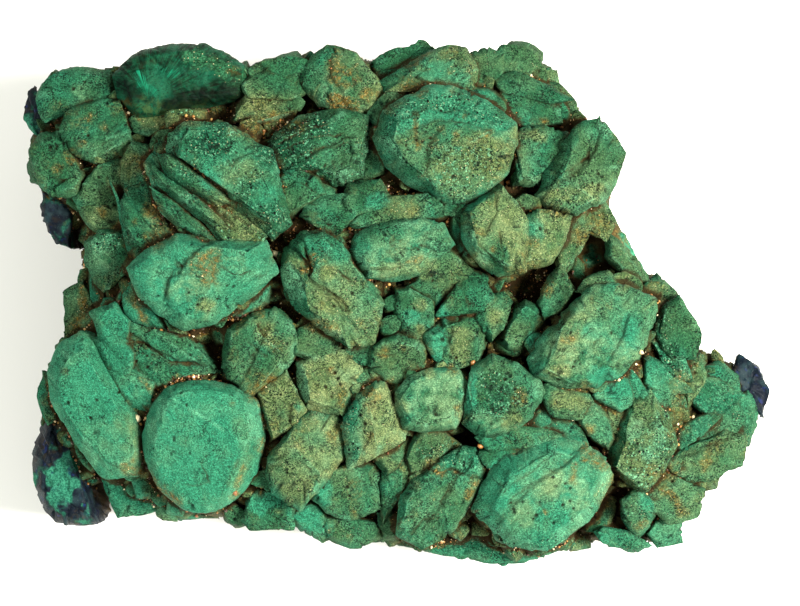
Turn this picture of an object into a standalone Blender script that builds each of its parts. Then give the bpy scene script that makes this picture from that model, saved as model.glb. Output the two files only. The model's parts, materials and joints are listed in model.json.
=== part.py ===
"""Crystal cluster on a limonite bed: blunt tabular green crystals, four dark blue ones, one rock bed.

Every crystal is a closed convex block cut from a cube with facet planes.
Outlines are read on a plan sheet laid over the cluster, in millimetres,
x to the right and y down the sheet.  The sheet leans towards -Y by SHEET_LEAN.
Where two crystals meet, the lower one stops GAP short of a facet of the higher one.
"""

import math

import bmesh
import bpy
from mathutils import Matrix, Vector
from mathutils.geometry import convex_hull_2d

# ---------------------------------------------------------------- driving dimensions (millimetres, degrees)
MM = 0.001
SHEET_CENTRE = (39.5, 30.3)     # the point of the sheet that stands over the middle of the cluster
SHEET_LEAN = 12.0               # how far the sheet's normal leans from +Z towards -Y
GAP = 0.3                       # clear gap between neighbouring solids
CROWN_RISE = 2.8                # height of the sloping crown above the widest outline
CROWN_LEAN = 33.0               # crown facets lean in by this much, going up
ROOT_LEAN = 7.0                 # root facets lean in by this much, going down
ROOT_DEPTH = 12.0               # how far a crystal goes down below its widest outline
OUTLINE_MARGIN = 0.4            # the widest outline stands this far outside the ring that was read
GROUND_CLEARANCE = 0.8          # crystals stay this far above the resting plane
BED_TOP = 18.0                  # height of the rock bed under the middle of the sheet
BED_SHOULDER = 13.4             # height of the bed's outer shoulder above the sheet's zero
BED_SHOULDER_LEAN = 30.0        # slope of the shoulder facets
BED_WALL_LEAN = 9.0             # the bed's walls lean in by this much, going down

COLLECTION = "azurite_malachite_cluster"

# The rock bed's outline on the sheet.
BED_OUTLINE = [(7.0, 20.0), (8.5, 12.0), (16.0, 7.6), (30.0, 7.4), (46.0, 7.0), (55.0, 9.6),
               (61.0, 18.0), (66.5, 30.0), (72.6, 39.0), (70.0, 47.6), (62.0, 54.2), (49.0, 55.9),
               (36.0, 54.2), (20.0, 51.4), (9.0, 50.4), (6.2, 40.0)]

# name: (mineral, height of the top face, [(facing, tilt, lift) of each top face], outline on the sheet)
# "facing" is the compass direction a top face leans to: 0 = +X, 90 = up the sheet.
CRYSTALS = {
    # ---- the tallest blocks come first; a later one yields to an earlier one where they meet
    "crystal_left_great": ("green", 26.6, [(200, 8, 0.0), (300, 20, 0.6)], [
        (13.5, 27.0), (15.5, 25.2), (17.8, 24.0), (21.5, 24.5), (26.2, 24.6), (27.2, 27.0),
        (25.6, 28.6), (23.2, 30.4), (21.0, 31.9), (18.5, 32.4), (16.2, 31.0), (14.2, 28.8)]),
    "plate_stack_upper": ("green", 26.4, [(58, 13, 0.0)], [
        (17.2, 15.6), (17.6, 13.8), (18.8, 12.8), (22.6, 13.0), (26.8, 15.5), (27.9, 20.0),
        (28.5, 22.2), (27.4, 23.2), (24.6, 21.2), (20.4, 18.2)]),
    "crystal_top_great": ("green", 26.0, [(75, 10, 0.0), (325, 18, 0.5)], [
        (38.1, 13.8), (39.0, 11.6), (40.4, 10.6), (43.2, 9.3), (45.0, 9.3), (48.2, 10.7), (51.0, 12.8),
        (51.0, 14.5), (50.1, 17.2), (48.5, 18.7), (46.6, 19.8), (44.0, 19.7), (41.0, 18.0), (39.2, 16.3)]),
    "crystal_ridged_block": ("green", 26.4, [(62, 15, 0.0), (200, 28, 1.7)], [
        (46.6, 21.3), (47.6, 20.1), (49.4, 18.6), (51.0, 20.6), (52.1, 22.2), (51.8, 26.6),
        (50.0, 27.0), (48.4, 26.0), (46.8, 23.8)]),
    "crystal_right_long": ("green", 26.0, [(60, 11, 0.0), (285, 14, 0.5)], [
        (53.4, 36.0), (54.4, 34.0), (57.2, 31.2), (59.2, 29.1), (62.2, 28.9), (65.1, 30.2),
        (64.3, 33.4), (63.4, 35.4), (61.4, 37.2), (59.6, 38.1), (56.6, 38.2), (53.8, 37.2)]),
    "crystal_pale_oval": ("green", 26.2, [(95, 9, 0.0), (270, 22, 0.9)], [
        (35.5, 25.2), (36.1, 24.0), (38.6, 22.9), (41.6, 22.4), (43.8, 22.9), (44.6, 24.4),
        (43.4, 25.6), (41.8, 27.0), (39.0, 27.6), (36.8, 27.3)]),
    "triple_plate_centre": ("green", 26.0, [(300, 12, 0.0), (160, 18, 1.2)], [
        (28.9, 25.3), (30.4, 23.8), (32.2, 23.4), (35.2, 25.0), (36.4, 27.2), (37.8, 28.7),
        (37.7, 31.0), (37.0, 33.6), (35.2, 34.2), (32.6, 32.6), (29.7, 30.1), (28.7, 27.2)]),
    "crystal_smooth_box": ("green", 25.4, [(75, 8, 0.0), (250, 26, 1.6)], [
        (40.1, 39.4), (41.3, 38.0), (43.0, 37.2), (45.5, 37.5), (46.3, 38.6), (46.0, 40.5),
        (45.2, 42.3), (42.6, 42.6), (40.8, 42.3), (40.0, 40.4)]),
    "crystal_round_centre": ("green", 25.6, [(85, 8, 0.0), (250, 17, 0.8)], [
        (46.5, 39.2), (47.2, 37.3), (49.2, 36.1), (51.5, 36.9), (53.2, 38.3), (53.7, 39.4),
        (52.8, 41.2), (50.5, 42.9), (48.5, 43.3), (46.8, 42.0)]),
    "crystal_front_great": ("green", 25.6, [(285, 10, 0.0), (60, 14, 0.7)], [
        (47.9, 50.8), (48.9, 48.5), (50.2, 46.3), (53.0, 45.0), (55.4, 44.2), (58.0, 44.6), (60.1, 46.2),
        (60.7, 47.4), (60.0, 49.2), (58.5, 51.5), (56.5, 53.0), (54.5, 54.4), (51.2, 53.9), (49.5, 52.4)]),
    "crystal_pillow_front_left": ("green", 24.8, [(235, 8, 0.0), (60, 13, 0.8)], [
        (14.8, 43.6), (15.2, 41.9), (16.0, 40.3), (17.2, 39.1), (19.0, 38.6), (21.7, 38.8), (24.0, 39.4),
        (25.6, 40.6), (26.2, 42.8), (25.8, 45.3), (24.4, 48.2), (22.7, 49.9), (20.8, 50.7), (18.6, 50.4),
        (16.4, 48.6), (15.2, 46.2)]),
    "crystal_two_faced": ("green", 25.2, [(10, 22, 0.0), (190, 20, 0.3)], [
        (34.7, 45.4), (34.8, 42.6), (36.2, 39.9), (37.7, 38.7), (38.9, 38.8), (40.5, 41.8),
        (40.0, 43.5), (37.6, 45.0), (35.3, 45.9)]),
    "crystal_diagonal_ridge": ("green", 24.8, [(45, 22, 0.0), (225, 18, 0.2)], [
        (27.4, 45.9), (28.7, 44.3), (30.0, 42.5), (31.3, 41.6), (34.4, 42.1), (34.6, 43.6),
        (34.2, 45.0), (32.4, 47.2), (31.3, 48.9), (29.9, 50.2), (27.7, 48.9), (27.2, 47.6)]),
    "crystal_front_wedge": ("green", 23.8, [(300, 16, 0.0), (120, 12, 0.3)], [
        (40.3, 53.2), (40.5, 49.8), (42.0, 48.1), (44.0, 46.4), (46.2, 45.2), (47.3, 45.2),
        (48.1, 46.5), (47.9, 47.8), (46.2, 50.7), (45.0, 52.5), (42.2, 54.3)]),
    "crystal_upper_block": ("green", 23.6, [(70, 12, 0.0), (200, 24, 1.4)], [
        (26.8, 15.2), (28.0, 13.8), (30.0, 12.3), (32.0, 11.9), (34.0, 11.6), (36.4, 12.1),
        (36.2, 14.0), (35.8, 17.4), (34.4, 18.1), (31.5, 17.2), (28.6, 16.8)]),
    "crystal_upper_right_great": ("green", 23.4, [(40, 13, 0.0), (250, 18, 1.0)], [
        (54.2, 19.4), (54.9, 17.8), (56.3, 16.4), (57.2, 14.8), (58.0, 13.1), (59.8, 12.2), (60.8, 13.5),
        (61.9, 15.3), (61.2, 17.9), (60.0, 19.7), (57.5, 20.8), (55.2, 20.6)]),
    "crystal_small_arch": ("green", 24.6, [(95, 13, 0.0), (270, 18, 0.7)], [
        (35.7, 22.4), (37.0, 21.0), (39.5, 20.2), (43.2, 20.0), (44.6, 21.2), (44.8, 22.0),
        (41.4, 22.3), (37.4, 23.3)]),
    "crystal_centre_slant": ("green", 24.4, [(300, 20, 0.0)], [
        (40.9, 28.1), (43.0, 26.4), (44.6, 25.2), (46.0, 26.2), (46.4, 27.0), (45.4, 28.2), (43.5, 29.8),
        (41.9, 28.8)]),
    "crystal_left_shoulder": ("green", 22.6, [(145, 14, 0.0), (250, 16, 0.6)], [
        (12.7, 21.4), (13.0, 19.2), (15.2, 18.4), (16.3, 20.6), (18.0, 23.2), (17.4, 23.9), (15.6, 25.1),
        (14.8, 25.8), (13.5, 24.0)]),
    "plate_stack_middle": ("green", 25.0, [(58, 13, 0.0)], [
        (20.0, 19.6), (24.0, 20.8), (26.0, 23.2), (25.9, 24.1), (22.6, 23.8), (20.6, 21.3)]),
    "plate_stack_lower": ("green", 24.4, [(58, 13, 0.0), (225, 30, 1.8)], [
        (15.3, 16.6), (16.0, 15.4), (17.2, 15.8), (19.9, 19.4), (20.6, 21.6), (22.4, 24.0), (20.4, 23.8),
        (18.4, 22.8), (17.0, 21.2), (16.0, 19.2)]),
    "crystal_low_centre": ("green", 24.0, [(260, 12, 0.0), (60, 14, 0.5)], [
        (43.0, 33.5), (44.5, 32.3), (47.6, 32.0), (48.0, 33.6), (47.5, 35.8), (44.5, 36.5), (43.1, 34.6)]),
    "crystal_centre_notch": ("green", 24.2, [(80, 12, 0.0), (230, 20, 0.8)], [
        (43.8, 29.8), (45.6, 28.5), (48.0, 28.4), (49.0, 29.8), (47.8, 31.5), (45.0, 31.9), (43.8, 31.2)]),
    "crystal_hidden_shoulder": ("green", 24.2, [(20, 18, 0.0), (130, 16, 0.5)], [
        (52.2, 22.6), (54.5, 21.2), (56.5, 22.0), (56.2, 23.6), (54.8, 25.8), (52.2, 26.6)]),
    "crystal_gold_spotted": ("green", 23.8, [(265, 12, 0.0)], [
        (37.5, 35.2), (38.6, 34.3), (39.8, 34.0), (41.8, 34.7), (42.9, 35.6), (42.6, 37.0), (40.4, 38.3),
        (38.8, 37.8), (37.5, 36.6)]),
    "crystal_centre_upright": ("green", 23.9, [(250, 14, 0.0), (20, 18, 0.5)], [
        (40.0, 29.2), (41.0, 29.1), (42.9, 30.1), (43.0, 31.2), (42.5, 34.4), (40.8, 33.2), (40.0, 31.0)]),
    "crystal_centre_shield": ("green", 24.2, [(110, 16, 0.0)], [
        (29.8, 22.6), (31.2, 20.9), (32.4, 20.1), (34.8, 19.9), (35.9, 22.2), (34.4, 23.6), (33.0, 23.6),
        (30.2, 23.1)]),
    "crystal_stack_neighbour": ("green", 24.4, [(80, 14, 0.0)], [
        (28.0, 18.2), (28.6, 17.5), (29.9, 17.4), (31.3, 18.1), (32.0, 19.2), (30.5, 20.8), (28.8, 22.0),
        (28.2, 20.4)]),
    "crystal_mid_left": ("green", 23.6, [(260, 12, 0.0), (30, 15, 0.5)], [
        (23.3, 33.2), (25.5, 31.7), (27.2, 31.3), (28.6, 32.6), (29.4, 33.8), (29.1, 34.9), (28.4, 36.0),
        (27.4, 37.1), (26.1, 38.1), (24.8, 39.0), (23.8, 38.8), (23.0, 36.6)]),
    "crystal_olive_right": ("green", 23.0, [(310, 12, 0.0), (100, 14, 0.5)], [
        (60.8, 47.4), (61.8, 44.0), (63.2, 41.0), (64.8, 39.8), (66.3, 41.8), (67.2, 44.5), (66.0, 46.8),
        (64.5, 48.8), (62.2, 49.1)]),
    "crystal_brown_upper": ("stained", 23.7, [(70, 14, 0.0)], [
        (30.3, 36.6), (31.5, 35.9), (33.5, 35.4), (35.0, 35.6), (35.8, 37.2), (35.2, 39.4), (34.6, 41.7),
        (33.0, 41.6), (31.1, 40.8), (30.3, 39.2)]),
    "crystal_brown_lower": ("stained", 23.5, [(110, 15, 0.0)], [
        (25.9, 41.0), (26.3, 39.6), (28.8, 37.6), (30.0, 37.2), (30.6, 39.5), (30.0, 42.1), (28.8, 43.7),
        (27.6, 44.6), (26.3, 44.1)]),
    "crystal_bright_small": ("green", 22.8, [(40, 16, 0.0)], [
        (59.0, 38.5), (60.0, 37.2), (61.2, 36.8), (62.8, 38.0), (63.2, 40.0), (62.8, 41.0), (59.8, 39.8)]),
    "crystal_pointed_cap": ("green", 23.4, [(75, 14, 0.0)], [
        (54.5, 39.3), (55.4, 38.2), (58.0, 38.5), (59.0, 39.8), (57.8, 41.4), (55.6, 41.2)]),
    "crystal_side_low_left": ("green", 22.0, [(225, 12, 0.0), (60, 14, 0.7)], [
        (11.3, 33.6), (11.9, 32.2), (12.6, 31.6), (14.0, 31.9), (17.0, 33.2), (21.0, 34.0), (22.7, 35.5),
        (22.8, 37.6), (20.0, 38.2), (16.6, 38.8), (14.4, 38.5), (12.7, 37.1), (11.8, 35.2)]),
    "crystal_long_left": ("green", 22.4, [(205, 10, 0.0), (15, 17, 0.9)], [
        (6.0, 35.0), (8.0, 33.6), (9.0, 33.9), (9.6, 37.4), (10.6, 39.8), (12.4, 40.8), (14.0, 42.1),
        (14.6, 44.0), (14.6, 46.0), (13.8, 47.2), (10.5, 47.3), (9.2, 45.9), (7.1, 42.7), (5.6, 40.2),
        (5.2, 37.4)]),
    "crystal_left_gap_filler": ("green", 20.6, [(235, 20, 0.0)], [
        (9.8, 37.4), (11.2, 37.1), (12.4, 37.2), (14.4, 38.7), (15.4, 39.5), (16.4, 39.8), (15.0, 41.6),
        (14.0, 41.9), (12.7, 40.5), (10.6, 39.2)]),
    "crystal_front_gritty": ("green", 22.4, [(285, 14, 0.0)], [
        (31.6, 49.2), (32.6, 46.8), (33.8, 45.6), (35.6, 46.2), (37.2, 46.8), (37.7, 50.5), (35.0, 51.6),
        (33.0, 51.0)]),
    "crystal_front_slim": ("green", 21.8, [(190, 14, 0.0), (350, 20, 0.4)], [
        (38.2, 50.4), (38.9, 47.4), (39.8, 45.9), (40.6, 46.6), (40.3, 50.0), (40.1, 51.7), (38.6, 52.0)]),
    "crystal_left_smooth": ("green", 20.4, [(185, 12, 0.0), (60, 16, 0.6)], [
        (9.1, 24.4), (10.0, 23.6), (11.8, 23.6), (13.0, 24.3), (13.5, 27.0), (13.2, 28.5), (12.2, 29.1),
        (10.8, 28.8), (9.8, 27.8), (9.2, 26.2)]),
    "crystal_upper_right_box": ("green", 21.8, [(60, 13, 0.0)], [
        (51.3, 13.6), (53.0, 13.2), (55.3, 13.8), (56.3, 13.8), (57.0, 15.6), (55.2, 16.8), (54.0, 18.1),
        (51.6, 18.0)]),
    "crystal_ridge_stained": ("green", 21.6, [(50, 14, 0.0), (165, 24, 0.8)], [
        (32.0, 8.2), (33.6, 5.2), (35.2, 5.9), (36.6, 7.5), (37.5, 8.5), (37.8, 9.5), (37.0, 11.2),
        (34.0, 11.3), (32.4, 10.8), (31.6, 9.5)]),
    "crystal_top_middle": ("green", 21.4, [(100, 14, 0.0), (300, 18, 0.8)], [
        (38.0, 9.0), (40.5, 7.4), (43.2, 5.5), (45.0, 4.8), (46.2, 5.1), (47.2, 7.0), (47.0, 8.8),
        (45.0, 9.1), (43.0, 9.1), (40.0, 10.4)]),
    "crystal_top_right_lump": ("green", 20.0, [(60, 16, 0.0)], [
        (50.1, 10.6), (50.4, 9.0), (52.0, 8.4), (54.0, 9.2), (55.5, 11.2), (55.8, 12.5), (55.4, 13.5),
        (53.0, 13.0), (51.0, 12.4)]),
    "crystal_fibrous_broken": ("silky", 20.8, [(95, 7, 0.0), (290, 16, 0.5)], [
        (11.7, 7.6), (13.0, 6.2), (14.2, 5.5), (16.0, 5.1), (20.0, 4.9), (22.2, 5.7), (23.8, 6.7),
        (24.3, 8.0), (23.8, 9.0), (20.5, 9.8), (17.8, 10.8), (14.0, 11.2), (12.4, 9.6)]),
    "crystal_thin_plate_back": ("green", 20.8, [(95, 16, 0.0)], [
        (20.3, 12.1), (21.2, 10.4), (24.0, 9.8), (29.0, 9.5), (29.6, 10.2), (29.0, 11.0), (26.2, 11.8),
        (22.8, 11.9)]),
    "crystal_northwest_broad": ("green", 19.6, [(140, 13, 0.0), (260, 16, 0.6)], [
        (6.3, 13.0), (6.8, 11.5), (8.0, 11.0), (10.0, 10.3), (11.8, 10.1), (12.8, 11.5), (14.2, 13.0),
        (13.5, 14.4), (9.6, 15.7), (7.5, 15.0)]),
    "crystal_west_plate": ("green", 18.4, [(195, 14, 0.0), (75, 16, 0.6)], [
        (3.3, 15.0), (4.2, 13.8), (6.2, 13.2), (7.4, 15.2), (9.4, 15.9), (7.4, 17.4), (7.0, 19.0),
        (5.0, 18.9), (4.2, 18.1), (3.5, 16.5)]),
    "crystal_west_cube": ("green", 18.8, [(215, 14, 0.0)], [
        (7.3, 19.0), (7.7, 17.8), (8.9, 16.1), (11.7, 16.1), (12.5, 17.2), (12.6, 18.9), (11.2, 20.7),
        (9.8, 21.1), (8.3, 20.4)]),
    "crystal_northwest_knob": ("green", 17.6, [(150, 15, 0.0)], [
        (3.7, 9.9), (4.3, 8.5), (5.5, 7.4), (7.0, 7.1), (11.3, 7.4), (11.7, 8.6), (11.0, 9.8), (7.0, 11.1),
        (5.0, 12.5), (4.1, 11.6)]),
    "crystal_top_far": ("green", 18.6, [(95, 18, 0.0)], [
        (36.6, 7.4), (38.5, 5.8), (40.0, 5.2), (42.2, 4.5), (42.9, 5.1), (42.4, 6.1), (39.6, 7.8),
        (37.6, 8.4)]),
    "crystal_right_smooth": ("green", 20.6, [(20, 14, 0.0), (200, 18, 0.7)], [
        (65.9, 33.0), (66.8, 31.0), (67.8, 30.4), (69.1, 32.5), (69.7, 33.5), (69.2, 35.4), (67.5, 35.7),
        (66.3, 34.4)]),
    "crystal_right_olive_block": ("green", 19.4, [(305, 15, 0.0), (95, 18, 0.9)], [
        (66.7, 46.5), (68.4, 44.9), (72.6, 43.6), (74.2, 44.1), (73.8, 46.2), (71.2, 47.5), (68.8, 47.6)]),
    "crystal_right_front_lump": ("green", 19.8, [(295, 15, 0.0), (110, 16, 0.5)], [
        (64.3, 49.3), (66.4, 47.1), (69.0, 47.9), (70.5, 48.2), (69.4, 51.4), (67.2, 51.8), (65.6, 50.8)]),
    "crystal_right_disc": ("green", 18.6, [(60, 12, 0.0)], [
        (69.8, 40.0), (70.5, 38.3), (71.5, 37.9), (73.4, 38.8), (73.8, 39.6), (72.5, 41.0), (71.4, 41.4),
        (70.0, 40.7)]),
    "azurite_left_upper": ("azurite", 15.0, [(190, 12, 0.0)], [
        (4.3, 19.3), (7.2, 19.2), (8.2, 20.6), (8.8, 21.8), (9.9, 23.3), (9.2, 24.0), (6.6, 24.1),
        (5.7, 23.8), (5.0, 22.8), (4.4, 21.5)]),
    "azurite_left_point": ("azurite", 14.6, [(175, 14, 0.0), (20, 22, 0.4)], [
        (2.4, 11.5), (2.8, 9.2), (3.7, 8.3), (4.3, 8.3), (4.6, 10.0), (5.0, 13.4), (4.5, 13.8),
        (2.9, 12.2)]),
    "azurite_front_left": ("azurite", 16.4, [(215, 12, 0.0), (60, 12, 0.6)], [
        (3.5, 46.5), (3.6, 44.8), (4.3, 43.0), (5.4, 41.8), (7.2, 43.2), (9.3, 46.2), (11.0, 48.4),
        (11.6, 50.5), (11.0, 51.6), (9.4, 52.1), (7.2, 52.3), (5.4, 52.0), (4.3, 50.7), (3.7, 49.0)]),
    "azurite_right_point": ("azurite", 16.0, [(35, 16, 0.0), (200, 20, 0.5)], [
        (73.9, 38.0), (74.6, 36.4), (76.0, 37.3), (76.7, 39.3), (76.2, 41.0), (74.6, 39.8)]),
}

# base colour, roughness
SURFACES = {
    "green": ((0.10, 0.30, 0.16, 1.0), 0.75),
    "stained": ((0.22, 0.25, 0.10, 1.0), 0.85),
    "silky": ((0.04, 0.20, 0.10, 1.0), 0.50),
    "azurite": ((0.02, 0.05, 0.08, 1.0), 0.45),
    "limonite": ((0.15, 0.11, 0.05, 1.0), 0.90),
}


def clear_scene():
    """Start from an empty file."""
    for item in list(bpy.data.objects):
        bpy.data.objects.remove(item, do_unlink=True)
    for item in list(bpy.data.meshes):
        bpy.data.meshes.remove(item)


def sheet_turn():
    """Rotation that leans the sheet's normal from +Z towards -Y."""
    return Matrix.Rotation(math.radians(SHEET_LEAN), 3, "X")


def on_sheet(outline):
    """Sheet readings to centred millimetres, y up, as a convex anticlockwise ring."""
    points = [Vector((x - SHEET_CENTRE[0], SHEET_CENTRE[1] - y)) for x, y in outline]
    ring = [points[index] for index in convex_hull_2d(points)]
    area = sum(a.x * b.y - b.x * a.y for a, b in zip(ring, ring[1:] + ring[:1]))
    return ring if area > 0.0 else ring[::-1]


def thin_ring(ring, shortest):
    """Drop corners that stand closer than `shortest` to the one before them."""
    kept = []
    for point in ring:
        if not kept or (point - kept[-1]).length > shortest:
            kept.append(point)
    if len(kept) > 3 and (kept[0] - kept[-1]).length < shortest:
        kept.pop()
    return kept


def top_plane(centre, height, facing, tilt):
    """Plane through the point above the centre, leaning to `facing` by `tilt`."""
    side = math.sin(math.radians(tilt))
    normal = Vector((side * math.cos(math.radians(facing)),
                     side * math.sin(math.radians(facing)),
                     math.cos(math.radians(tilt))))
    return normal, normal.dot(Vector((centre.x, centre.y, height)))


def ring_planes(ring, level, lean, upwards, margin=0.0):
    """One plane through each edge of the ring at `level`, `margin` further out, leaning in by `lean`."""
    planes = []
    for index, (start, end) in enumerate(zip(ring, ring[1:] + ring[:1])):
        edge = end - start
        outward = Vector((edge.y, -edge.x)).normalized()
        own_lean = math.radians(lean + 7.0 * math.sin(2.3 * index + start.x))
        rise = math.sin(own_lean) if upwards else -math.sin(own_lean)
        normal = Vector((outward.x * math.cos(own_lean), outward.y * math.cos(own_lean), rise))
        planes.append((normal, normal.dot(Vector((start.x, start.y, level))) + margin))
    return planes


def crystal_planes(height, tops, outline):
    """All facet planes of one crystal, in sheet coordinates."""
    ring = thin_ring(on_sheet(outline), 0.9)
    centre = sum(ring, Vector((0.0, 0.0))) / len(ring)
    width = min(max(p.dot(axis) for p in ring) - min(p.dot(axis) for p in ring)
                for axis in (Vector((1.0, 0.0)), Vector((0.0, 1.0)), Vector((0.7, 0.7)), Vector((0.7, -0.7))))
    rise = min(CROWN_RISE, 0.34 * width)
    level = height - rise
    planes = [top_plane(centre, height + lift, facing, tilt) for facing, tilt, lift in tops]
    planes += ring_planes(ring, level, CROWN_LEAN, True, OUTLINE_MARGIN)
    planes += ring_planes(ring, level, ROOT_LEAN, False, OUTLINE_MARGIN)
    depth = min(ROOT_DEPTH, 1.9 * width)
    planes.append((Vector((0.0, 0.0, -1.0)), -(level - depth)))
    return planes


def bed_planes():
    """All planes of the rock bed, in sheet coordinates."""
    ring = on_sheet(BED_OUTLINE)
    centre = sum(ring, Vector((0.0, 0.0))) / len(ring)
    planes = [top_plane(centre, BED_TOP, 250, 2), top_plane(centre, BED_TOP + 2.2, 170, 14),
              top_plane(centre, BED_TOP + 2.4, 10, 14), top_plane(centre, BED_TOP + 2.0, 90, 16),
              top_plane(centre, BED_TOP + 1.8, 300, 15)]
    planes += ring_planes(ring, BED_SHOULDER, 90.0 - BED_SHOULDER_LEAN, True)
    planes += ring_planes(ring, BED_SHOULDER, BED_WALL_LEAN, False)
    return planes


def turned(planes):
    """Sheet planes to standing planes (the heights' zero stays at the sheet's centre)."""
    turn = sheet_turn()
    return [((turn @ normal).normalized(), distance) for normal, distance in planes]


def cut_solid(planes):
    """Cut a cube primitive with every plane and close each cut; returns a bmesh."""
    solid = bmesh.new()
    bmesh.ops.create_cube(solid, size=240.0)
    for normal, distance in planes:
        geometry = solid.verts[:] + solid.edges[:] + solid.faces[:]
        cut = bmesh.ops.bisect_plane(solid, geom=geometry, dist=1e-5, plane_co=normal * distance,
                                     plane_no=normal, clear_outer=True)
        edges = [item for item in cut["geom_cut"] if isinstance(item, bmesh.types.BMEdge)]
        if edges:
            bmesh.ops.contextual_create(solid, geom=edges)
    return solid


def corners(planes):
    """The corner points and the centre of the solid that the planes enclose."""
    solid = cut_solid(planes)
    points = [vertex.co.copy() for vertex in solid.verts]
    solid.free()
    centre = sum(points, Vector((0.0, 0.0, 0.0))) / max(1, len(points))
    return points, centre


def kept_apart(planes, points, others):
    """True when one of the planes has every one of the other points outside it."""
    return any(min(normal.dot(point) for point in others) - distance > GAP - 1e-4
               for normal, distance in planes)


def yield_to(lower, lower_points, centre, higher, higher_points):
    """Cut the lower solid back behind the facet of the higher one that it mostly stands beyond."""
    if kept_apart(higher, higher_points, lower_points) or kept_apart(lower, lower_points, higher_points):
        return None
    normal, distance = max(higher, key=lambda plane: plane[0].dot(centre) - plane[1])
    return (-normal, -(distance + GAP))


def finish_mesh(name, planes, mineral, collection, shift):
    """Cut, clean and name one solid and give it its own material."""
    solid = cut_solid(planes)
    bmesh.ops.remove_doubles(solid, verts=solid.verts[:], dist=0.03)
    bmesh.ops.delete(solid, geom=solid.edges[:], context="EDGES_FACES")
    bmesh.ops.convex_hull(solid, input=solid.verts[:])
    spare = [vertex for vertex in solid.verts if not vertex.link_faces]
    bmesh.ops.delete(solid, geom=spare, context="VERTS")
    bmesh.ops.recalc_face_normals(solid, faces=solid.faces[:])
    bmesh.ops.transform(solid, matrix=Matrix.Translation(shift), verts=solid.verts[:])
    bmesh.ops.scale(solid, vec=(MM, MM, MM), verts=solid.verts[:])
    mesh = bpy.data.meshes.new(name)
    solid.to_mesh(mesh)
    solid.free()
    body = bpy.data.objects.new(name, mesh)
    collection.objects.link(body)
    colour, roughness = SURFACES[mineral]
    material = bpy.data.materials.new(name + "_surface")
    material.use_nodes = True
    shader = material.node_tree.nodes["Principled BSDF"]
    shader.inputs["Base Color"].default_value = colour
    shader.inputs["Roughness"].default_value = roughness
    mesh.materials.append(material)
    return body


def build():
    """Plan every solid, settle the contacts, then make the meshes."""
    clear_scene()
    collection = bpy.data.collections.new(COLLECTION)
    bpy.context.scene.collection.children.link(collection)

    turn = sheet_turn()
    ground = (turn @ Vector((0.0, -26.0, 5.6))).z
    bed = turned(bed_planes()) + [(Vector((0.0, 0.0, -1.0)), -ground)]
    bed_points, bed_centre = corners(bed)
    floor_cut = (Vector((0.0, 0.0, -1.0)), -(ground + GROUND_CLEARANCE))

    settled = []
    for name, (mineral, height, tops, outline) in CRYSTALS.items():
        planes = turned(crystal_planes(height, tops, outline)) + [floor_cut]
        points, centre = corners(planes)
        for other_planes, other_points in [(item[2], item[3]) for item in settled] + [(bed, bed_points)]:
            cut = yield_to(planes, points, centre, other_planes, other_points)
            if cut:
                planes.append(cut)
                points = corners(planes)[0]
        settled.append((name, mineral, planes, points))

    everything = bed_points + [point for item in settled for point in item[3]]
    low = Vector([min(point[axis] for point in everything) for axis in range(3)])
    high = Vector([max(point[axis] for point in everything) for axis in range(3)])
    shift = Vector((-(low.x + high.x) / 2.0, -(low.y + high.y) / 2.0, -low.z))

    finish_mesh("matrix_bed", bed, "limonite", collection, shift)
    for name, mineral, planes, points in settled:
        finish_mesh(name, planes, mineral, collection, shift)


build()
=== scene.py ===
# %% [markdown]
# # A cluster of blunt green crystals on a limonite bed
# The specimen is a field of dull teal crystals, grown over a brown rock bed that is cut flat below. Dark
# blue-black crystal ends stick out at its left edge and at its right tip. The solid model gives each large
# crystal as a few flat facets. This lesson gives each one its skin: rounded edges, growth layers, gritty
# grains, pits, stains, and the crumbs in the cracks between them.

import json
import math

import bpy
import numpy as np
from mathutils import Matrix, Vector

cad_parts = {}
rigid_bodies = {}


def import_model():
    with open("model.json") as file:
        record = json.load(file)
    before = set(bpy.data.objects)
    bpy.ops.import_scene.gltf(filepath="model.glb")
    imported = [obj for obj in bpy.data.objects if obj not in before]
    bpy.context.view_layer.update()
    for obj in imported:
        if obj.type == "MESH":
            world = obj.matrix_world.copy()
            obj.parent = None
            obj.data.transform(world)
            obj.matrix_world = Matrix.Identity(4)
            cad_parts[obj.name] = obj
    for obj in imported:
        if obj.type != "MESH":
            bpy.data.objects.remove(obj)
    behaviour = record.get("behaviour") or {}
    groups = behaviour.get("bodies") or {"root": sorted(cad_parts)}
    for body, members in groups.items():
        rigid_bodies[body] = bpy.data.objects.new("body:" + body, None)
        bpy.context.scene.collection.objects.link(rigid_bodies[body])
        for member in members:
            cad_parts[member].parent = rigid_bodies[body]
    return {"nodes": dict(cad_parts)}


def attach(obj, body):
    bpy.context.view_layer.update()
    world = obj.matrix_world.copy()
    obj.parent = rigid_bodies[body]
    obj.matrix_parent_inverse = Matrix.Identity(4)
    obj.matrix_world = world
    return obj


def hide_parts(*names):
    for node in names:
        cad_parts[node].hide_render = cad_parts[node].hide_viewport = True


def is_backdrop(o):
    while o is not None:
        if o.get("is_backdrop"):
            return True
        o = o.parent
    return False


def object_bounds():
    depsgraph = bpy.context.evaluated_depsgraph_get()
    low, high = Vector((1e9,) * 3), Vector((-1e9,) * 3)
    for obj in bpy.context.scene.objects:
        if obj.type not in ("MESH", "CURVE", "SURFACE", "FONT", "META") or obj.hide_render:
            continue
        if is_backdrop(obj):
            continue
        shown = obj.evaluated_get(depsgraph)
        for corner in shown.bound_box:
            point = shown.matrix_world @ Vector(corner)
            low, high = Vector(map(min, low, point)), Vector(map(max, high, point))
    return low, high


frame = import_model()
cad_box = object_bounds()
print("solid pieces:", len(frame["nodes"]))

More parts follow.
